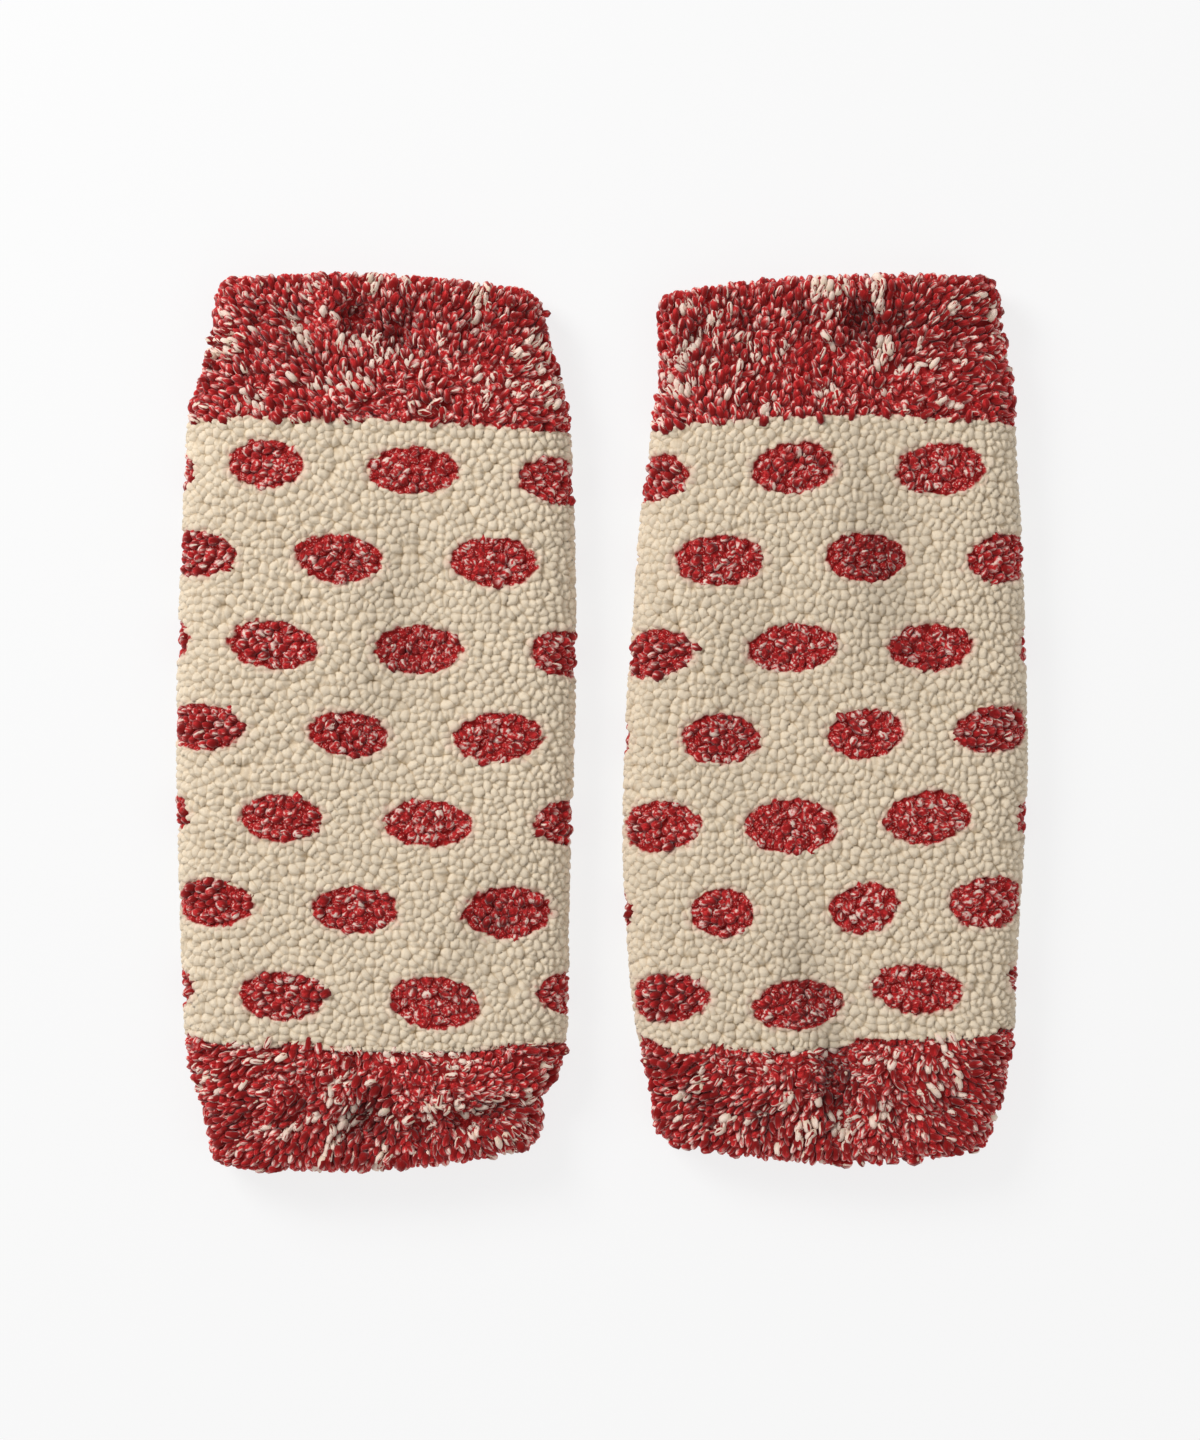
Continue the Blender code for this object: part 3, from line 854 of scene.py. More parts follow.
class NodeMaker:
    """Adds nodes to a tree: a type, its settings first, then the values or links of its sockets."""

    def __init__(self, tree: bpy.types.NodeTree) -> None:
        """Keep the tree."""
        self.tree = tree

    def node(self, kind: str, settings: dict | None = None, inputs: dict | None = None) -> bpy.types.Node:
        """Add a node.

        Args:
            kind: the node's type.
            settings: its properties by name.
            inputs: the value or link of each socket, by name or by number.
        Returns:
            The node.
        """
        made = self.tree.nodes.new(kind)
        for name, value in (settings or {}).items():
            setattr(made, name, value)
        for key, value in (inputs or {}).items():
            self.feed(self.input_of(made, key), value)
        return made

    def add(self, kind: str, settings: dict | None = None, inputs: dict | None = None,
            output: str | None = None) -> Signal:
        """Add a node and give one of its outputs.

        Args:
            kind, settings, inputs: as for node.
            output: the output's name, or None for the first that is in use.
        Returns:
            The output.
        """
        made = self.node(kind, settings, inputs)
        usable = [s for s in made.outputs if s.enabled and output in (None, s.name)]
        return Signal(self, usable[0])

    def mix(self, factor: Value, first: Value, second: Value, blend: str = "MIX") -> Signal:
        """Mix two colours.

        Args:
            factor: the share of the second.
            first, second: the colours.
            blend: how they are mixed.
        Returns:
            The mixed colour.
        """
        settings = {"data_type": "RGBA", "blend_type": blend}
        return self.add("ShaderNodeMix", settings, {"Factor": factor, "A": first, "B": second})

    def noise(self, vector: Signal, scale: float, detail: float = 1.0) -> Signal:
        """Smooth noise from 0 to 1 in three dimensions."""
        return self.add("ShaderNodeTexNoise", {}, {"Vector": vector, "Scale": scale, "Detail": detail})

    def ramp(self, stops: list[tuple[float, tuple]], factor: Signal) -> Signal:
        """Add a colour ramp.

        Args:
            stops: the place and the colour of each stop.
            factor: where the ramp is read.
        Returns:
            The colour.
        """
        made = self.node("ShaderNodeValToRGB", {}, {"Fac": factor})
        elements = made.color_ramp.elements
        while len(elements) < len(stops):
            elements.new(1.0)
        for element, (place, colour) in zip(elements, stops):
            element.position = place
            element.color = (*colour, 1.0)
        return Signal(self, made.outputs["Color"])

    def attribute(self, name: str, output: str = "Fac") -> Signal:
        """An attribute of the mesh, read in a material."""
        return self.add("ShaderNodeAttribute", {"attribute_name": name}, {}, output)

    def vector(self, x: Value, y: Value, z: Value) -> Signal:
        """A vector from its three numbers."""
        return self.add("ShaderNodeCombineXYZ", {}, {"X": x, "Y": y, "Z": z})

    @staticmethod
    def input_of(made: bpy.types.Node, key: str | int) -> bpy.types.NodeSocket:
        """Find an input.

        Args:
            made: the node.
            key: the input's number, or its name among those in use.
        Returns:
            The input.
        """
        if isinstance(key, int):
            return made.inputs[key]
        return next(s for s in made.inputs if s.enabled and s.name == key)

    def feed(self, socket: bpy.types.NodeSocket, value: Value) -> None:
        """Link a signal to an input, or set its value.

        Args:
            socket: the input.
            value: the signal or the value.
        """
        if isinstance(value, Signal):
            self.tree.links.new(value.socket, socket)
        elif socket.type in ("VECTOR", "RGBA") and isinstance(value, (int, float)):
            socket.default_value = (value,) * len(socket.default_value)
        elif socket.type == "RGBA" and len(value) == 3:
            socket.default_value = (*value, 1.0)
        else:
            socket.default_value = value


@dataclass(frozen=True)
class Tuft:
    """One kind of tuft: its spacing, its shape and how much it varies, in millimetres and shares."""

    spacing: float
    half_width: float
    narrowness: float
    height: float
    tilt: float
    root_width: float
    tip_width: float
    fullness: float
    variation: float
    jitter: float
    swirl: float
    spin: float
    bend: float
    bend_size: float
    sink: float
    segments: int
    lone_cream: float


DOT_TUFT = Tuft(spacing=3.3, half_width=2.9, narrowness=0.78, height=1.0, tilt=0.9, root_width=1.05,
                tip_width=0.8, fullness=0.8, variation=0.18, jitter=0.5, swirl=2.0, spin=0.2,
                bend=1.2, bend_size=3.4, sink=1.2, segments=6, lone_cream=0.0)
BAND_TUFT = Tuft(spacing=2.95, half_width=2.55, narrowness=0.7, height=1.2, tilt=1.3, root_width=1.05,
                 tip_width=0.8, fullness=0.8, variation=0.2, jitter=0.6, swirl=1.8, spin=0.2,
                 bend=1.6, bend_size=3.6, sink=0.8, segments=6, lone_cream=0.02)


TINY = 0.0001
SMALL = 0.01
LENGTHS = ("spacing", "half_width", "bend", "bend_size", "sink", "size", "warp", "warp_size")


def socket_name(key: str) -> str:
    """A field's name as an input's name, such as Half Width."""
    return key.replace("_", " ").title()


@dataclass
class SurfaceTree:
    """A Geometry Nodes tree with named inputs, built once and used on many surfaces.

    Attributes:
        name: the tree's name.
        floats: the fields of the sizes that it takes as inputs.
        spent: the surface's attributes that nothing reads after it.
        whole: the inputs that are whole numbers, the seed last.
        sockets: each input's identifier, by the input's name.
        edge_size, edge_drift: how long and how wide the waves of the red's edge are.
    """

    name: str
    floats: tuple[str, ...]
    spent: tuple[str, ...]
    whole: tuple[str, ...] = ("seed",)
    sockets: dict[str, str] = field(default_factory=dict)
    edge_size: float = 3.0
    edge_drift: float = 4.2

    def __post_init__(self) -> None:
        """Make the tree's inputs and build it."""
        self.group = bpy.data.node_groups.new(self.name, "GeometryNodeTree")
        self.maker = NodeMaker(self.group)
        face = self.group.interface
        face.new_socket(name="Geometry", in_out="OUTPUT", socket_type="NodeSocketGeometry")
        face.new_socket(name="Geometry", in_out="INPUT", socket_type="NodeSocketGeometry")
        for name in self.floats:
            self._input(socket_name(name), "NodeSocketFloat")
        for name in self.whole:
            self._input(socket_name(name), "NodeSocketInt")
        self._input("Material", "NodeSocketMaterial")
        self.start = self.maker.node("NodeGroupInput")
        self._build()

    def _build(self) -> None:
        """Add the nodes between the inputs and the output."""
        raise NotImplementedError

    def _input(self, name: str, kind: str) -> None:
        """Add one named input and keep its identifier."""
        made = self.group.interface.new_socket(name=name, in_out="INPUT", socket_type=kind)
        self.sockets[name] = made.identifier

    def _given(self, name: str) -> Signal:
        """The value of a named input."""
        return Signal(self.maker, next(s for s in self.start.outputs if s.name == name))

    def _read(self, name: str, kind: str = "FLOAT") -> Signal:
        """An attribute of the surface."""
        return self.maker.add("GeometryNodeInputNamedAttribute", {"data_type": kind}, {"Name": name})

    def _random(self, low: Value, high: Value, seed: int, kind: str = "FLOAT") -> Signal:
        """A random value for each tuft."""
        inputs = {"Min": low, "Max": high, "Seed": self._given("Seed") + seed}
        return self.maker.add("FunctionNodeRandomValue", {"data_type": kind}, inputs)

    def _edge(self) -> Signal:
        """Read how far a place lies outside the red, with the yarns' uneven edge.

        Returns:
            The distance, negative inside the red.
        """
        place = self.maker.add("GeometryNodeInputPosition")
        drift = self.maker.noise(place, 1.0 / (self.edge_size * MM))
        return self._read("dot") + (drift - 0.5) * self.edge_drift

    def _store(self, geometry: Signal, name: str, value: Signal, kind: str = "FLOAT") -> Signal:
        """Keep a value on the geometry for the material to read."""
        inputs = {"Geometry": geometry, "Name": name, "Value": value}
        return self.maker.add("GeometryNodeStoreNamedAttribute", {"data_type": kind}, inputs)

    def _finish(self, geometry: Signal) -> None:
        """Make the geometry plain, dress it and hand it out.

        Args:
            geometry: what the tree has made.
        """
        real = self.maker.add("GeometryNodeRealizeInstances", {}, {"Geometry": geometry})
        inputs = {"Geometry": real, "Material": self._given("Material")}
        dressed = self.maker.add("GeometryNodeSetMaterial", {}, inputs)
        self.maker.node("NodeGroupOutput", {}, {"Geometry": dressed})

    def used_on(self, name: str, surface: bpy.types.Mesh, sizes: "Tuft | Curl", seed: int,
                material: bpy.types.Material) -> bpy.types.Object:
        """Run the tree on a surface.

        Args:
            name: the new piece's name.
            surface: the mesh, with the attributes that the tree reads.
            sizes: the tree's inputs, with lengths in millimetres.
            seed: the seed of all that is random.
            material: the finish.
        Returns:
            The piece, a plain mesh.
        """
        holder = placed("surface", surface)
        modifier = holder.modifiers.new(self.name, "NODES")
        modifier.node_group = self.group
        for key in (*self.floats, *self.whole[:-1]):
            value = getattr(sizes, key)
            modifier[self.sockets[socket_name(key)]] = value * MM if key in LENGTHS else value
        modifier[self.sockets["Seed"]] = seed
        modifier[self.sockets["Material"]] = material
        holder.update_tag()
        seen = holder.evaluated_get(bpy.context.evaluated_depsgraph_get())
        mesh = bpy.data.meshes.new_from_object(seen)
        bpy.data.objects.remove(holder, do_unlink=True)
        mesh.name = name
        for attribute in self.spent:
            mesh.attributes.remove(mesh.attributes[attribute])
        return placed(name, mesh)


@dataclass(frozen=True)
class Curl:
    """The curls of the cream pile: their size, and how they vary, in millimetres and shares."""

    size: float = 3.5
    warp: float = 2.8
    warp_size: float = 5.0
    depth: float = 1.5
    round: float = 1.05
    line: float = 0.3
    line_share: float = 0.4
    slant: float = 0.28
    slant_down: float = -0.5

    def relief(self, maker: NodeMaker, lie: Signal) -> tuple[Signal, Signal, Signal]:
        """How deep places lie between the curls, from 0 on top to 1 at the bottom.

        Args:
            maker: adds the nodes, in a material or a Geometry Nodes tree.
            lie: the place on the cloth, with the curls one unit apart.
        Returns:
            The depth, the way from the middle of the curl, and a colour that each curl has.
        """
        settings, inputs = {"voronoi_dimensions": "2D"}, {"Vector": lie, "Scale": 1.0}
        node = maker.node("ShaderNodeTexVoronoi", settings, inputs)
        near, own, centre = (Signal(maker, node.outputs[n]) for n in ("Distance", "Color", "Position"))
        second = maker.add("ShaderNodeTexVoronoi", {**settings, "feature": "F2"}, inputs, "Distance")
        dome = 1.0 - (1.0 - (near * near / self.round**2).least(0.98)) ** 0.5
        line = (second - near).step(0.0, self.line, 1.0, 0.0)
        return dome * (1.0 - self.line_share) + line * self.line_share, lie - centre, own


@dataclass
class CurlTree(SurfaceTree):
    """The tree that presses the valleys between the curls into the cream cloth."""

    name: str = "curls"
    floats: tuple[str, ...] = ("size", "warp", "warp_size", "depth")
    spent: tuple[str, ...] = ("dot", "lean", "out", "free", "spot")
    curl: Curl = Curl()
    warp_roughness: float = 0.65
    edge_softness: float = 0.8
    relief_lost: float = 0.4
    sunk: float = 0.7

    def _build(self) -> None:
        """Warp the places, press the valleys and keep what the material reads."""
        maker, given = self.maker, self._given
        place = maker.add("GeometryNodeInputPosition")
        inputs = {"Vector": place + given("Seed"), "Scale": 1.0 / given("Warp Size"),
                  "Roughness": self.warp_roughness}
        drift = maker.add("ShaderNodeTexNoise", {}, inputs, "Color")
        spot = self._read("spot", "FLOAT_VECTOR") + (drift - 0.5) * given("Warp")
        lie = spot / given("Size") + given("Seed")
        cloth = self._store(given("Geometry"), "lie", lie, "FLOAT_VECTOR")
        depth, away, _ = self.curl.relief(maker, lie)
        lean = self._read("lean", "FLOAT_VECTOR") + (0.0, self.curl.slant_down, 0.0)
        x, y, _ = (away * lean).parts()
        depth = depth - (x + y) * self.curl.slant
        free = self._read("free")
        edge = self._edge()
        cloth = self._store(cloth, "reach", edge)
        inside = edge.step(-self.edge_softness, self.edge_softness, 1.0, 0.0)
        relief = depth * given("Depth") * (1.0 - inside * self.relief_lost)
        pressed = free * (relief + inside * self.sunk)
        offset = self._read("out", "FLOAT_VECTOR") * pressed * -1.0
        cloth = maker.add("GeometryNodeSetPosition", {}, {"Geometry": cloth, "Offset": offset})
        self._finish(cloth)


@dataclass
class PileTree(SurfaceTree):
    """The tree that covers a bed of cloth with tufts."""

    name: str = "pile"
    floats: tuple[str, ...] = tuple(f.name for f in fields(Tuft) if f.type is float)
    spent: tuple[str, ...] = ("dot", "fleck", "lean", "length")
    whole: tuple[str, ...] = ("segments", "seed")
    rings: int = 5
    crown: float = 0.55
    crowding: float = 14.0
    fleck_spread: float = 0.55
    fleck_softness: float = 0.35
    dot_margin: float = -0.7
    above_surface: float = 0.4
    swirls_a_metre: float = 28.0
    highest_root: float = 0.15

    def _one_tuft(self) -> Signal:
        """A closed drop of unit length, its tip at the origin and its root below.

        Returns:
            The drop's mesh.
        """
        maker = self.maker
        inputs = {"Segments": self._given("Segments"), "Rings": self.rings, "Radius": 1.0}
        ball = maker.add("GeometryNodeMeshUVSphere", {}, inputs)
        place = maker.add("GeometryNodeInputPosition")
        ball = self._store(ball, "strand", place, "FLOAT_VECTOR")
        x, y, z = place.parts()
        slope = z.math("ARCCOSINE")
        slope = slope * (self.crown + (1.0 - self.crown) / math.pi * slope)
        up = slope.math("COSINE")
        share = (up + 1.0) * 0.5
        full = self._given("Fullness")
        wide = self._given("Root Width") * (1.0 - share) + self._given("Tip Width") * share
        wide = wide * slope.math("SINE").most(TINY) ** full / (1.0 - z * z).most(TINY) ** 0.5
        height = (up * up.math("ABSOLUTE").most(SMALL) ** (full - 1.0) - 1.0) * 0.5
        drop = maker.vector(x * wide, y * wide, height)
        shaped = maker.add("GeometryNodeSetPosition", {}, {"Geometry": ball, "Position": drop})
        return maker.add("GeometryNodeSetShadeSmooth", {}, {"Geometry": shaped})

    def _build(self) -> None:
        """Scatter, turn, realize and bend the tufts."""
        maker, given = self.maker, self._given
        spacing = given("Spacing")
        crowd = self.crowding / (spacing * spacing)
        inputs = {"Mesh": given("Geometry"), "Distance Min": spacing, "Density Max": crowd,
                  "Seed": given("Seed")}
        scatter = maker.node("GeometryNodeDistributePointsOnFaces", {"distribute_method": "POISSON"}, inputs)
        points, normal = (Signal(maker, scatter.outputs[name]) for name in ("Points", "Normal"))
        inputs = {"Geometry": points, "Selection": self._edge() > self.dot_margin}
        points = maker.add("GeometryNodeDeleteGeometry", {"domain": "POINT"}, inputs)
        chance = self._random(0.0, 1.0, 1)
        grouped = self._read("fleck") + (chance - 0.5) * self.fleck_spread
        grouped = grouped.step(0.5 - self.fleck_softness, 0.5 + self.fleck_softness)
        lone = self._random(0.0, 1.0, 2) < given("Lone Cream")
        points = self._store(points, "cream", grouped.most(lone))
        own = self._random((0.0,) * 3, (1.0,) * 3, 3, "FLOAT_VECTOR")
        points = self._store(points, "tuft", own, "FLOAT_VECTOR")
        sink = self._random(-1.0, self.highest_root, 4) * given("Sink")
        points = maker.add("GeometryNodeSetPosition", {}, {"Geometry": points, "Offset": normal * sink})
        place = maker.add("GeometryNodeInputPosition")
        swirl = maker.add("ShaderNodeTexNoise", {}, {"Vector": place, "Scale": self.swirls_a_metre}, "Color")
        lean = self._read("lean", "FLOAT_VECTOR") + (swirl - 0.5) * given("Swirl")
        stray = self._random((-1.0,) * 3, (1.0,) * 3, 5, "FLOAT_VECTOR") * given("Jitter")
        way = normal + (lean + stray) * given("Tilt")
        align = "FunctionNodeAlignRotationToVector"
        turn = maker.add(align, {"axis": "Z"}, {"Vector": way})
        turn = maker.add(align, {"axis": "X", "pivot_axis": "Z"}, {"Rotation": turn, "Vector": lean + stray})
        angle = self._random(-math.pi / 2, math.pi / 2, 6) * given("Spin")
        spin = maker.add("FunctionNodeAxisAngleToRotation", {}, {"Axis": (0.0, 0.0, 1.0), "Angle": angle})
        turn = maker.add("FunctionNodeRotateRotation", {"rotation_space": "LOCAL"},
                         {"Rotation": turn, "Rotate By": spin})
        wide = given("Half Width") * (1.0 + self._random(-1.0, 1.0, 7) * given("Variation"))
        thin = wide * given("Narrowness") * (1.0 + self._random(-1.0, 1.0, 8) * given("Variation"))
        tall = self._read("length") * given("Height")
        size = maker.vector(wide, thin, tall)
        inputs = {"Points": points, "Instance": self._one_tuft(), "Rotation": turn, "Scale": size}
        tufts = maker.add("GeometryNodeInstanceOnPoints", {}, inputs)
        tufts = maker.add("GeometryNodeRealizeInstances", {}, {"Geometry": tufts})
        inputs = {"Vector": place, "Scale": 1.0 / given("Bend Size"), "Detail": 1.0}
        drift = maker.add("ShaderNodeTexNoise", {}, inputs, "Color")
        x, y, z = (place + (drift - 0.5) * given("Bend")).parts()
        bent = maker.vector(x, y, z.most(self.above_surface * MM))
        tufts = maker.add("GeometryNodeSetPosition", {}, {"Geometry": tufts, "Position": bent})
        self._finish(tufts)


def placed(name: str, mesh: bpy.types.Mesh) -> bpy.types.Object:
    """Put a mesh in the scene, at the origin.

    Args:
        name: the piece's name.
        mesh: its mesh.
    Returns:
        The piece.
    """
    piece = bpy.data.objects.new(name, mesh)
    bpy.context.scene.collection.objects.link(piece)
    return piece


def grid_mesh(name: str, points: np.ndarray, keep: np.ndarray | None, closed: bool) -> bpy.types.Mesh:
    """A mesh of a grid that closes round the tube.

    Args:
        name: the mesh's name.
        points: rows by columns by X, Y, Z, in millimetres.
        keep: which points the faces may use, or None for all.
        closed: whether the last row is joined to the first.
    Returns:
        The mesh, with all the grid's points in order.
    """
    rows, columns = points.shape[:2]
    number = np.arange(rows * columns).reshape(rows, columns)
    after = np.roll(number, -1, axis=0)
    corners = np.stack([number, np.roll(number, -1, axis=1), np.roll(after, -1, axis=1), after], axis=2)
    if not closed:
        corners = corners[:-1]
    faces = corners.reshape(-1, 4)
    if keep is not None:
        faces = faces[keep.reshape(-1)[faces].all(axis=1)]
    mesh = bpy.data.meshes.new(name)
    mesh.from_pydata((points.reshape(-1, 3) * MM).tolist(), [], faces.tolist())
    mesh.shade_smooth()
    highest = int(points[0, :, 2].argmax())
    if mesh.vertices[highest].normal.z < 0.0:
        mesh.flip_normals()
    return mesh


def give(mesh: bpy.types.Mesh, name: str, values: np.ndarray) -> None:
    """Keep one number or vector for each point of a mesh.

    Args:
        mesh: the mesh of a grid.
        name: the attribute's name.
        values: a value for each point, rows by columns.
    """
    vector = values.ndim == 3
    made = mesh.attributes.new(name, "FLOAT_VECTOR" if vector else "FLOAT", "POINT")
    made.data.foreach_set("vector" if vector else "value", values.astype(np.float32).ravel())


@dataclass(frozen=True)
class FleeceColours:
    """The colours of the yarns, and of their painted shade and highlight, as linear light."""

    # painted shade: the cream where the valleys between the curls lie in shade
    cream_root: tuple = (0.52, 0.39, 0.24)
    cream_tip: tuple = (0.76, 0.635, 0.475)
    # partly the yarn's pale fibres, partly a painted highlight on the curls' tops
    cream_pale: tuple = (0.84, 0.73, 0.58)
    fleck: tuple = (0.92, 0.76, 0.64)
    blush: tuple = (0.78, 0.46, 0.38)
    # painted shade: the red towards the tufts' roots, in the crevices of the pressed cloth and under the
    # dots' tufts
    red_root: tuple = (0.24, 0.006, 0.006)
    red_deep: tuple = (0.36, 0.009, 0.010)
    red: tuple = (0.64, 0.028, 0.030)
    rose: tuple = (0.76, 0.26, 0.23)
    pale_strand: tuple = (0.93, 0.60, 0.54)

    def dye(self, *places: float) -> list[tuple[float, tuple]]:
        """The five stops of a ramp from the deep red to the pale strands, at these places."""
        return list(zip(places, (self.red_deep, self.red, self.red, self.rose, self.pale_strand)))


def dress(made: bpy.types.Material, inputs: dict) -> bpy.types.Material:
    """Set or link the sockets of a material's own shader.

    Args:
        made: the material.
        inputs: a value or a signal for each socket, by name.
    Returns:
        The material.
    """
    maker = NodeMaker(made.node_tree)
    for name, value in inputs.items():
        maker.feed(made.node_tree.nodes["Principled BSDF"].inputs[name], value)
    return made


def new_material(name: str) -> tuple[bpy.types.Material, NodeMaker]:
    """Make a material.

    Args:
        name: its name.
    Returns:
        The material, and what adds nodes to it.
    """
    made = bpy.data.materials.new(name)
    made.use_nodes = True
    return made, NodeMaker(made.node_tree)


@dataclass(frozen=True)
class FleeceFinish:
    """What the finishes of the pile share."""

    colours: FleeceColours = FleeceColours()
    sheen: float = 0.3
    sheen_roughness: float = 0.45
    roughness: float = 0.92
    gloss: float = 0.1

    def dressed(self, made: bpy.types.Material, colour: Signal, light: Signal,
                bump: Signal) -> bpy.types.Material:
        """Give a material the look of dull fibres.

        Args:
            made: the material.
            colour: the yarn's colour, with its painted shade and highlight.
            light: a factor on the colour: each tuft's or curl's own tone and grain, times painted shade in
                the creases.
            bump: the normal.
        Returns:
            The material.
        """
        bright = light.maker.vector(light, light, light)
        return dress(made, {
            "Base Color": light.maker.mix(1.0, colour, bright, "MULTIPLY"), "Normal": bump,
            "Roughness": self.roughness, "Specular IOR Level": self.gloss,
            "Sheen Weight": self.sheen, "Sheen Roughness": self.sheen_roughness,
        })


@dataclass(frozen=True)
class TuftFinish(FleeceFinish):
    """The finish of the red tufts, with their pale strands and the cream ones among them, and painted shade
    towards their roots and in the creases.
    """

    fibre_bump: float = 0.3
    streak: float = 1.4
    fine_streak: float = 4.4
    stretch: float = 0.35
    apart: float = 41.0
    fine_share: float = 0.28
    own_share: float = 0.16
    blushing: float = 0.45
    strand_contrast: float = 2.6
    grain: float = 0.4
    # how dark the painted shade gets, and how much of it the pale strands keep
    shade: float = 0.65
    pale_shade: float = 0.4

    def material(self) -> bpy.types.Material:
        """Make the material.

        Returns:
            A material that reads the tufts' own attributes.
        """
        made, maker = new_material("red_tufts")
        strand, tuft = maker.attribute("strand", "Vector"), maker.attribute("tuft", "Vector")
        cream, dip = maker.attribute("cream"), maker.attribute("dip")
        _, _, height = strand.parts()
        tone, share, _ = tuft.parts()
        lie = strand * (1.0, 1.0, self.stretch) + tuft * self.apart
        fibres = maker.noise(lie, self.streak, 0.0)
        fine = maker.noise(lie, self.fine_streak, 1.0)
        mixed = fibres * (1.0 - self.fine_share) + fine * self.fine_share
        mixed = mixed + (share - 0.5) * self.own_share
        colours = self.colours
        dyed = maker.ramp(colours.dye(0.36, 0.45, 0.53, 0.57, 0.65), mixed)
        # each tuft darker towards its root: painted shade
        dyed = maker.mix(height.step(-0.5, 0.5), colours.red_root, dyed)
        # the cream strands go from cream at the root to the pale fleck colour at the tip: the darker root is
        # painted shade
        pale = maker.mix(height.step(-0.9, 0.0), colours.cream_tip, colours.fleck)
        pale = maker.mix(fine.step(0.4, 0.65) * self.blushing, pale, colours.blush)
        strands = (cream * 0.74 + (mixed - 0.5) * self.strand_contrast).step(0.42, 0.60)
        colour = maker.mix(strands, dyed, pale)
        light = (tone * 0.14 + 0.95) * (fine * self.grain + (1.0 - self.grain / 2))
        # painted shade in the creases and on the dots, weaker on the pale strands
        light = light * (1.0 - dip * self.shade * (1.0 - strands * (1.0 - self.pale_shade)))
        inputs = {"Strength": 1.0, "Distance": self.fibre_bump * MM, "Height": fine + fibres}
        return self.dressed(made, colour, light, maker.add("ShaderNodeBump", {}, inputs))


@dataclass(frozen=True)
class CurlFinish(FleeceFinish):
    """The finish of the cream cloth with its curls, and of the red cloth under the dots, with painted shade
    in the valleys and creases and a painted highlight on the curls' tops.
    """

    curl: Curl = Curl()
    fibre_size: float = 0.7
    crisp: float = 0.35
    fibre_bump: float = 0.14
    # how dark the painted crease shade gets
    shade: float = 0.35
    halo_width: float = 3.0
    halo_strength: float = 0.4
    edge_softness: float = 0.4

    def material(self) -> bpy.types.Material:
        """Make the material.

        Returns:
            A material that reads the cloth's own attributes.
        """
        made, maker = new_material("cream_curls")
        lie, reach, dip = maker.attribute("lie", "Vector"), maker.attribute("reach"), maker.attribute("dip")
        depth, _, own = self.curl.relief(maker, lie)
        tone, share, _ = own.parts()
        fibres = maker.noise(lie, self.curl.size / self.fibre_size, 1.0)
        colours = self.colours
        # darker in the valleys between the curls: painted shade
        pale = maker.mix(depth.step(0.1, 0.9), colours.cream_tip, colours.cream_root)
        # paler fibres on the curls' tops: partly the yarn's own pale fibres, partly a painted highlight that
        # fades into the valleys
        pale = maker.mix(fibres.step(0.4, 0.7) * 0.5 * (1.0 - depth), pale, colours.cream_pale)
        halo = reach.step(0.0, self.halo_width, 1.0, 0.0)
        pale = maker.mix(halo * share * self.halo_strength, pale, colours.blush)
        dyed = maker.ramp(colours.dye(0.40, 0.50, 0.58, 0.62, 0.68), fibres)
        # the red cloth inside the dots, darkened everywhere and more in the valleys: painted shade under the
        # dots' tufts
        dyed = maker.mix(depth.step(0.0, 0.5) * 0.6 + 0.4, dyed, colours.red_root)
        colour = maker.mix(reach.step(-self.edge_softness, self.edge_softness, 1.0, 0.0), pale, dyed)
        # each curl's own tone, times the painted crease shade
        light = (tone * 0.14 + 0.92) * (1.0 - dip * self.shade)
        height = depth * -self.crisp + fibres * self.fibre_bump
        inputs = {"Strength": 1.0, "Distance": MM, "Height": height}
        return self.dressed(made, colour, light, maker.add("ShaderNodeBump", {}, inputs))


@dataclass(frozen=True)
class ClothFinish:
    """The finish of the red cloth under the pile, and of the pile that the tube's weight presses flat, with
    painted shade between its pressed curls.
    """

    colours: FleeceColours = FleeceColours()
    curl: float = 2.9
    relief: float = 1.2
    fibres_a_metre: float = 900.0
    roughness: float = 0.95

    def material(self) -> bpy.types.Material:
        """Make the material.

        Returns:
            A material with pressed curls in Object coordinates.
        """
        made, maker = new_material("red_cloth")
        place = maker.add("ShaderNodeTexCoord", {}, {}, "Object")
        curls = maker.node("ShaderNodeTexVoronoi", {}, {"Vector": place, "Scale": 1.0 / (self.curl * MM)})
        near = Signal(maker, curls.outputs["Distance"])
        kind, _, _ = Signal(maker, curls.outputs["Color"]).parts()
        fibres = maker.noise(place, self.fibres_a_metre, 2.0) + (kind - 0.5) * 0.2
        colours = self.colours
        dyed = maker.ramp(colours.dye(0.40, 0.50, 0.58, 0.64, 0.74), fibres)
        # darker towards the edges of the pressed curls: painted shade in the crevices
        dyed = maker.mix(near.step(0.3, 0.8), dyed, colours.red_root)
        inputs = {"Strength": 1.0, "Distance": self.relief * MM, "Height": near}
        bump = maker.add("ShaderNodeBump", {"invert": True}, inputs)
        return dress(made, {"Base Color": dyed, "Normal": bump, "Roughness": self.roughness,
                            "Specular IOR Level": 0.2, "Sheen Weight": 0.3})


SEEDS = {100: LEFT, 500: RIGHT}


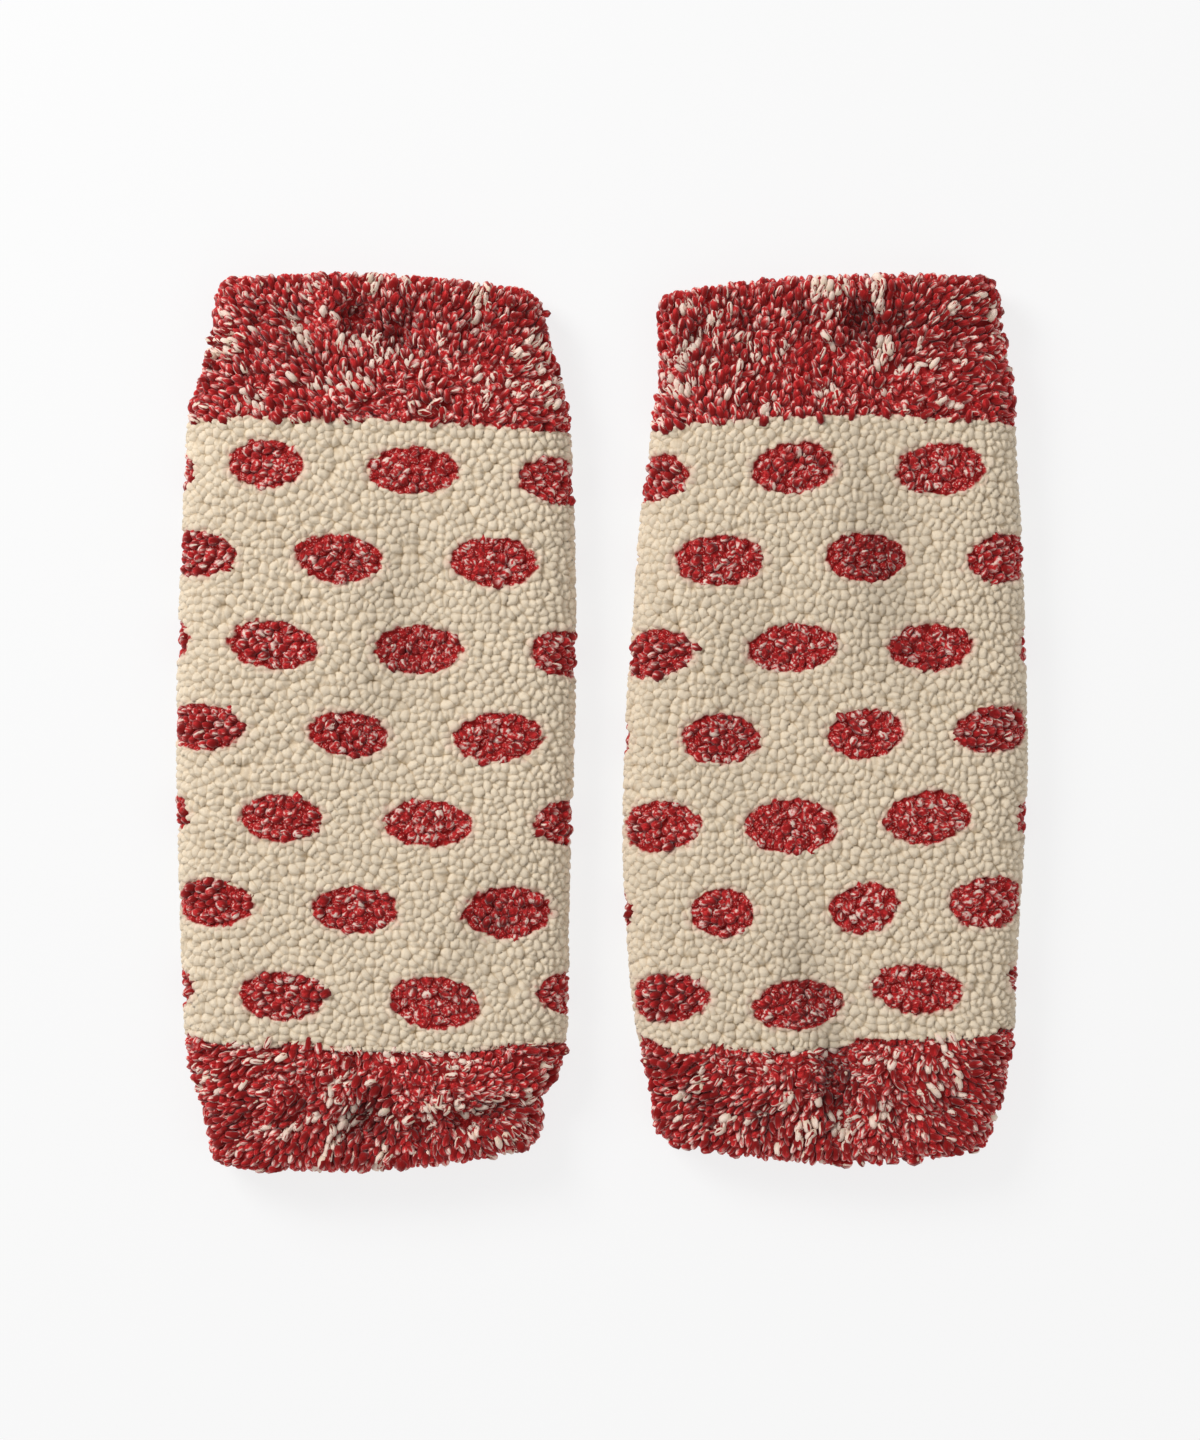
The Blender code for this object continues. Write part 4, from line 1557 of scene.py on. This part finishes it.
@dataclass
class LegWarmer:
    """One leg warmer: its cloth in three stretches, and the pile on each."""

    tube: Tube
    fine_tube: Tube
    tufts: PileTree
    curls: CurlTree
    finishes: dict[str, bpy.types.Material]
    lean_out: float = 0.9
    lean_to_mouth: float = 0.6
    mouth_fade: float = 20.0
    combed: float = 1.5
    # the crease depth at which the painted crease shade is full
    full_dip: float = 5.0
    overlap: float = 1.5
    ragged: float = 2.5
    rim: float = 1.8
    rim_fall: float = 1.7
    rim_rise: float = 6.0
    # a painted shade that darkens all the dots' tufts
    dot_shade: float = 0.28
    cut_round: float = 0.33

    def __post_init__(self) -> None:
        """Keep the tube's cut at hand."""
        self.cut = self.tube.cut

    def lean(self, points: np.ndarray, normals: np.ndarray) -> np.ndarray:
        """Which way the tufts lean.

        Args:
            points: places on the tips.
            normals: the directions straight out there.
        Returns:
            The lean as a vector for each, along the surface.
        """
        x, y = points[..., 0], points[..., 1]
        middle, half = self.cut.middle_and_half(y)
        across = np.clip((x - middle) / half, -1.0, 1.0)
        lean = self.combed * self.cut.combing(x, y)
        lean[..., 0] += self.lean_out * across**3
        for end in End:
            edge = self.cut.mouths[end].y_at(across)
            lean[..., 1] += end.value * self.lean_to_mouth * np.exp(-np.abs(edge - y) / self.mouth_fade)
        return lean - normals * (lean * normals).sum(axis=-1, keepdims=True)

    def bed(self, rings: Rings, all_red: bool) -> tuple[bpy.types.Mesh, np.ndarray]:
        """The surface of the tips, with what the pile reads from it.

        Args:
            rings: the rings that bear pile.
            all_red: whether it is a red band.
        Returns:
            The bed, and the cloth's points under the pile.
        """
        points, around, free = rings.stacked()
        normals = self.tube.normals(points)
        x, y, z = np.moveaxis(points, 2, 0)
        depth = self.tube.pile.pressed(free, z)
        mesh = grid_mesh("bed", points, z > self.tube.pile.lowest_tip, closed=False)
        above = smooth(z - self.tube.section.widest)
        give(mesh, "dot", self.dots(points, around, all_red))
        pale = self.cut.fleck_share(x, y)
        if all_red:
            hanging = smooth(self.cut.above_line(x, y) / self.ragged + 0.5)
            pale = np.maximum(pale, above * (y < 0.0) * hanging)
        give(mesh, "fleck", pale)
        # painted shade for the tufts' colour: the creases of the upper layer, and on the body a constant
        # share for the dots' tufts
        give(mesh, "dip", above * self.dip(x, y) + (0.0 if all_red else self.dot_shade))
        give(mesh, "lean", self.lean(points, normals))
        give(mesh, "length", (depth + self.tube.pile.root) * MM)
        return mesh, points - normals * depth[..., None]

    def dots(self, points: np.ndarray, around: np.ndarray, all_red: bool) -> np.ndarray:
        """How far places lie outside the red, negative inside it.

        Args:
            points, around: the places.
            all_red: whether they lie in a red band.
        Returns:
            The distances.
        """
        if all_red:
            return np.full(around.shape, -FAR)
        x, y, z = np.moveaxis(points, 2, 0)
        on_top = z > self.tube.section.widest
        apart = self.cut.dot_distance(around, y, float(np.abs(around).max()))
        from_line = np.where(on_top, self.cut.above_line(x, y), FAR)
        middle, half = self.cut.middle_and_half(y)
        across = np.clip((x - middle) / half, -1.0, 1.0)
        upper, lower = (self.cut.seams[end].y_at(across) for end in End)
        above_seam = np.where(on_top, FAR, y - lower)
        from_seam = np.minimum(upper - y, above_seam) - self.overlap
        return np.minimum(np.minimum(apart, from_line), from_seam)

    def red_cloth(self, name: str, under: np.ndarray, inner: list[np.ndarray]) -> bpy.types.Object:
        """A cuff's cloth as one closed wall.

        Args:
            name: the piece's name.
            under: the outer points, under the pile.
            inner: the rings that lead back inside.
        Returns:
            The piece.
        """
        mesh = grid_mesh(name, np.concatenate([under, np.array(inner)]), None, closed=True)
        mesh.materials.append(self.finishes["cloth"])
        return placed(name, mesh)

    def cream_cloth(self, name: str, seed: int) -> bpy.types.Object:
        """The body's cloth as one closed wall, with the cream curls in its outer side.

        Args:
            name: the piece's name.
            seed: which curls.
        Returns:
            The piece.
        """
        tube = self.fine_tube
        rings, inner = tube.body_rings()
        outer, around, free = rings.stacked()
        points = np.concatenate([outer, np.array(inner)])
        spare = ((0, len(inner)), (0, 0))
        free = np.pad(tube.pile.pressed(free, outer[..., 2]), spare)
        around = np.pad(around, spare, mode="edge")
        x, y, z = np.moveaxis(points, 2, 0)
        normals = tube.normals(points)
        ends = np.minimum(y[0] - y[:len(outer)], y[:len(outer)] - y[len(outer) - 1])
        fall = self.rim_fall * (1.0 - smooth(ends / self.rim))
        fall = fall * smooth(outer[..., 2] / self.rim_rise)
        points[:len(outer)] -= normals[:len(outer)] * fall[..., None]
        mesh = grid_mesh(name, points, None, closed=True)
        give(mesh, "dot", self.dots(points, around, False))
        # painted shade of the creases, for the curls' colour
        give(mesh, "dip", smooth(z - tube.section.widest) * self.dip(x, y))
        give(mesh, "lean", self.lean(points, normals))
        give(mesh, "out", normals)
        give(mesh, "free", free * MM)
        give(mesh, "spot", np.stack([around, y, np.zeros_like(y)], axis=2) * MM)
        return self.curls.used_on(name, mesh, self.curls.curl, seed, self.finishes["curls"])

    def dip(self, x: np.ndarray, y: np.ndarray) -> np.ndarray:
        """How deep in a crease places of the upper layer lie, from 0 to 1, as the share of painted crease
        shade.
        """
        return np.clip(self.cut.crease_depth(x, y) / self.full_dip, 0.0, 1.0)

    def build(self, seed: int) -> None:
        """Build and dress every piece, attach it to the root and hide the solid that it stands for.

        Args:
            seed: the first of the seeds.
        """
        side = self.cut.side
        bed, _ = self.bed(self.tube.body_rings()[0], all_red=False)
        cloth = self.cream_cloth(f"{side}_body_cloth", seed)
        dyed = self.tufts.used_on(f"{side}_dot_pile", bed, DOT_TUFT, seed + 1, self.finishes["tufts"])
        self.declare(f"{side}_body", cloth, Yarn.CREAM, {dyed: Yarn.RED})
        for step, end in enumerate(End, start=2):
            node = f"{side}_{end.name.lower()}_cuff"
            rings, inner = self.tube.cuff_rings(end)
            bed, under = self.bed(rings, all_red=True)
            cloth = self.red_cloth(f"{node}_cloth", under, inner)
            dyed = self.tufts.used_on(f"{node}_pile", bed, BAND_TUFT, seed + step, self.finishes["tufts"])
            self.declare(node, cloth, Yarn.RED, {dyed: Yarn.RED})

    def declare(self, node: str, cloth: bpy.types.Object, yarn: Yarn,
                pile: dict[bpy.types.Object, Yarn]) -> None:
        """Attach a stretch of cloth and its pile to the root, hide the solid that they stand for, and report
        their triangles.

        Args:
            node: the solid that they stand for.
            cloth: the wall.
            yarn: the cloth's yarn; it is not used.
            pile: the pieces of pile on it, each with its yarn, which is not used.
        """
        for piece, its_yarn in {cloth: yarn, **pile}.items():
            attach(piece, "root")
            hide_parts(node)
            piece.data.calc_loop_triangles()
            log.info("%s: %d triangles", piece.name, len(piece.data.loop_triangles))


@dataclass(frozen=True)
class Lamp:
    """A large soft light that looks at the origin: its place and side in metres, its power in watts."""

    name: str
    place: tuple[float, float, float]
    side: float
    power: float

    def hang(self) -> None:
        """Put the light in the scene."""
        light = bpy.data.lights.new(self.name, "AREA")
        light.size = self.side
        light.energy = self.power
        made = bpy.data.objects.new(self.name, light)
        made.location = self.place
        made.rotation_euler = (-Vector(self.place)).to_track_quat("-Z", "Y").to_euler()
        bpy.context.scene.collection.objects.link(made)


@dataclass(frozen=True)
class Studio:
    """The floor, the lights and the camera. Lengths are in metres."""

    photo_scale: float = 0.42
    photo_size: tuple = (1200, 1440)
    origin_pixel: tuple = (602.0, 722.5)
    camera_height: float = 1.5
    focus_height: float = 0.018
    sensor: float = 36.0
    floor_size: float = 60.0
    floor_drop: float = 0.0003
    floor_roughness: float = 0.9
    floor_colour: tuple = (0.16, 0.16, 0.16)
    floor_glow: float = 0.78
    sky: float = 0.46
    lamps: tuple[Lamp, ...] = (
        Lamp("key", (-1.3, 1.1, 1.3), 0.9, 33.0),
        Lamp("fill", (1.2, -0.8, 1.5), 1.6, 5.0),
    )

    def floor(self) -> bpy.types.Object:
        """A plain pale floor like a light table, just under what lies on it.

        Returns:
            The floor.
        """
        half, below = self.floor_size / 2, -self.floor_drop
        mesh = bpy.data.meshes.new("floor")
        corners = [(-half, -half, below), (half, -half, below), (half, half, below), (-half, half, below)]
        mesh.from_pydata(corners, [], [(0, 1, 2, 3)])
        material, _ = new_material("pale_floor")
        mesh.materials.append(dress(material, {
            "Base Color": self.floor_colour, "Roughness": self.floor_roughness,
            "Emission Color": WHITE, "Emission Strength": self.floor_glow,
        }))
        made = placed("floor", mesh)
        return made

    def lights(self) -> None:
        """A key from the upper left, a fill from the lower right, and an even sky."""
        for lamp in self.lamps:
            lamp.hang()
        world = bpy.data.worlds.new("studio")
        world.use_nodes = True
        sky = world.node_tree.nodes["Background"]
        sky.inputs["Color"].default_value = (*WHITE, 1.0)
        sky.inputs["Strength"].default_value = self.sky
        bpy.context.scene.world = world
        bpy.context.scene.view_settings.view_transform = "Standard"

    def camera(self) -> None:
        """A camera straight above, framed as the photo is."""
        wide, high = self.photo_size
        x = (wide / 2 - self.origin_pixel[0]) * self.photo_scale * MM
        y = (self.origin_pixel[1] - high / 2) * self.photo_scale * MM
        data = bpy.data.cameras.new("camera")
        data.sensor_width = self.sensor
        data.lens = self.sensor * (self.camera_height - self.focus_height) / (high * self.photo_scale * MM)
        made = bpy.data.objects.new("camera", data)
        made.location = (x, y, self.camera_height)
        bpy.context.scene.collection.objects.link(made)
        bpy.context.scene.camera = made


def main() -> None:
    """Build the studio and both leg warmers, and report each piece."""
    logging.basicConfig(level=logging.INFO, format="%(message)s")
    studio = Studio()
    studio.camera()
    studio.floor()
    studio.lights()
    finishes = {
        "tufts": TuftFinish().material(),
        "curls": CurlFinish().material(),
        "cloth": ClothFinish().material(),
    }
    tufts, curls = PileTree(), CurlTree()
    fine = Section(top_steps=98, side_steps=18, arc_steps=12, even=True)
    for seed, cut in SEEDS.items():
        tube = Tube(cut, Section(), Pile())
        fine_tube = Tube(cut, fine, Pile(), row_step=0.88, seam_gap=-2.4)
        LegWarmer(tube, fine_tube, tufts, curls, finishes).build(seed)


if __name__ == "__main__":
    main()
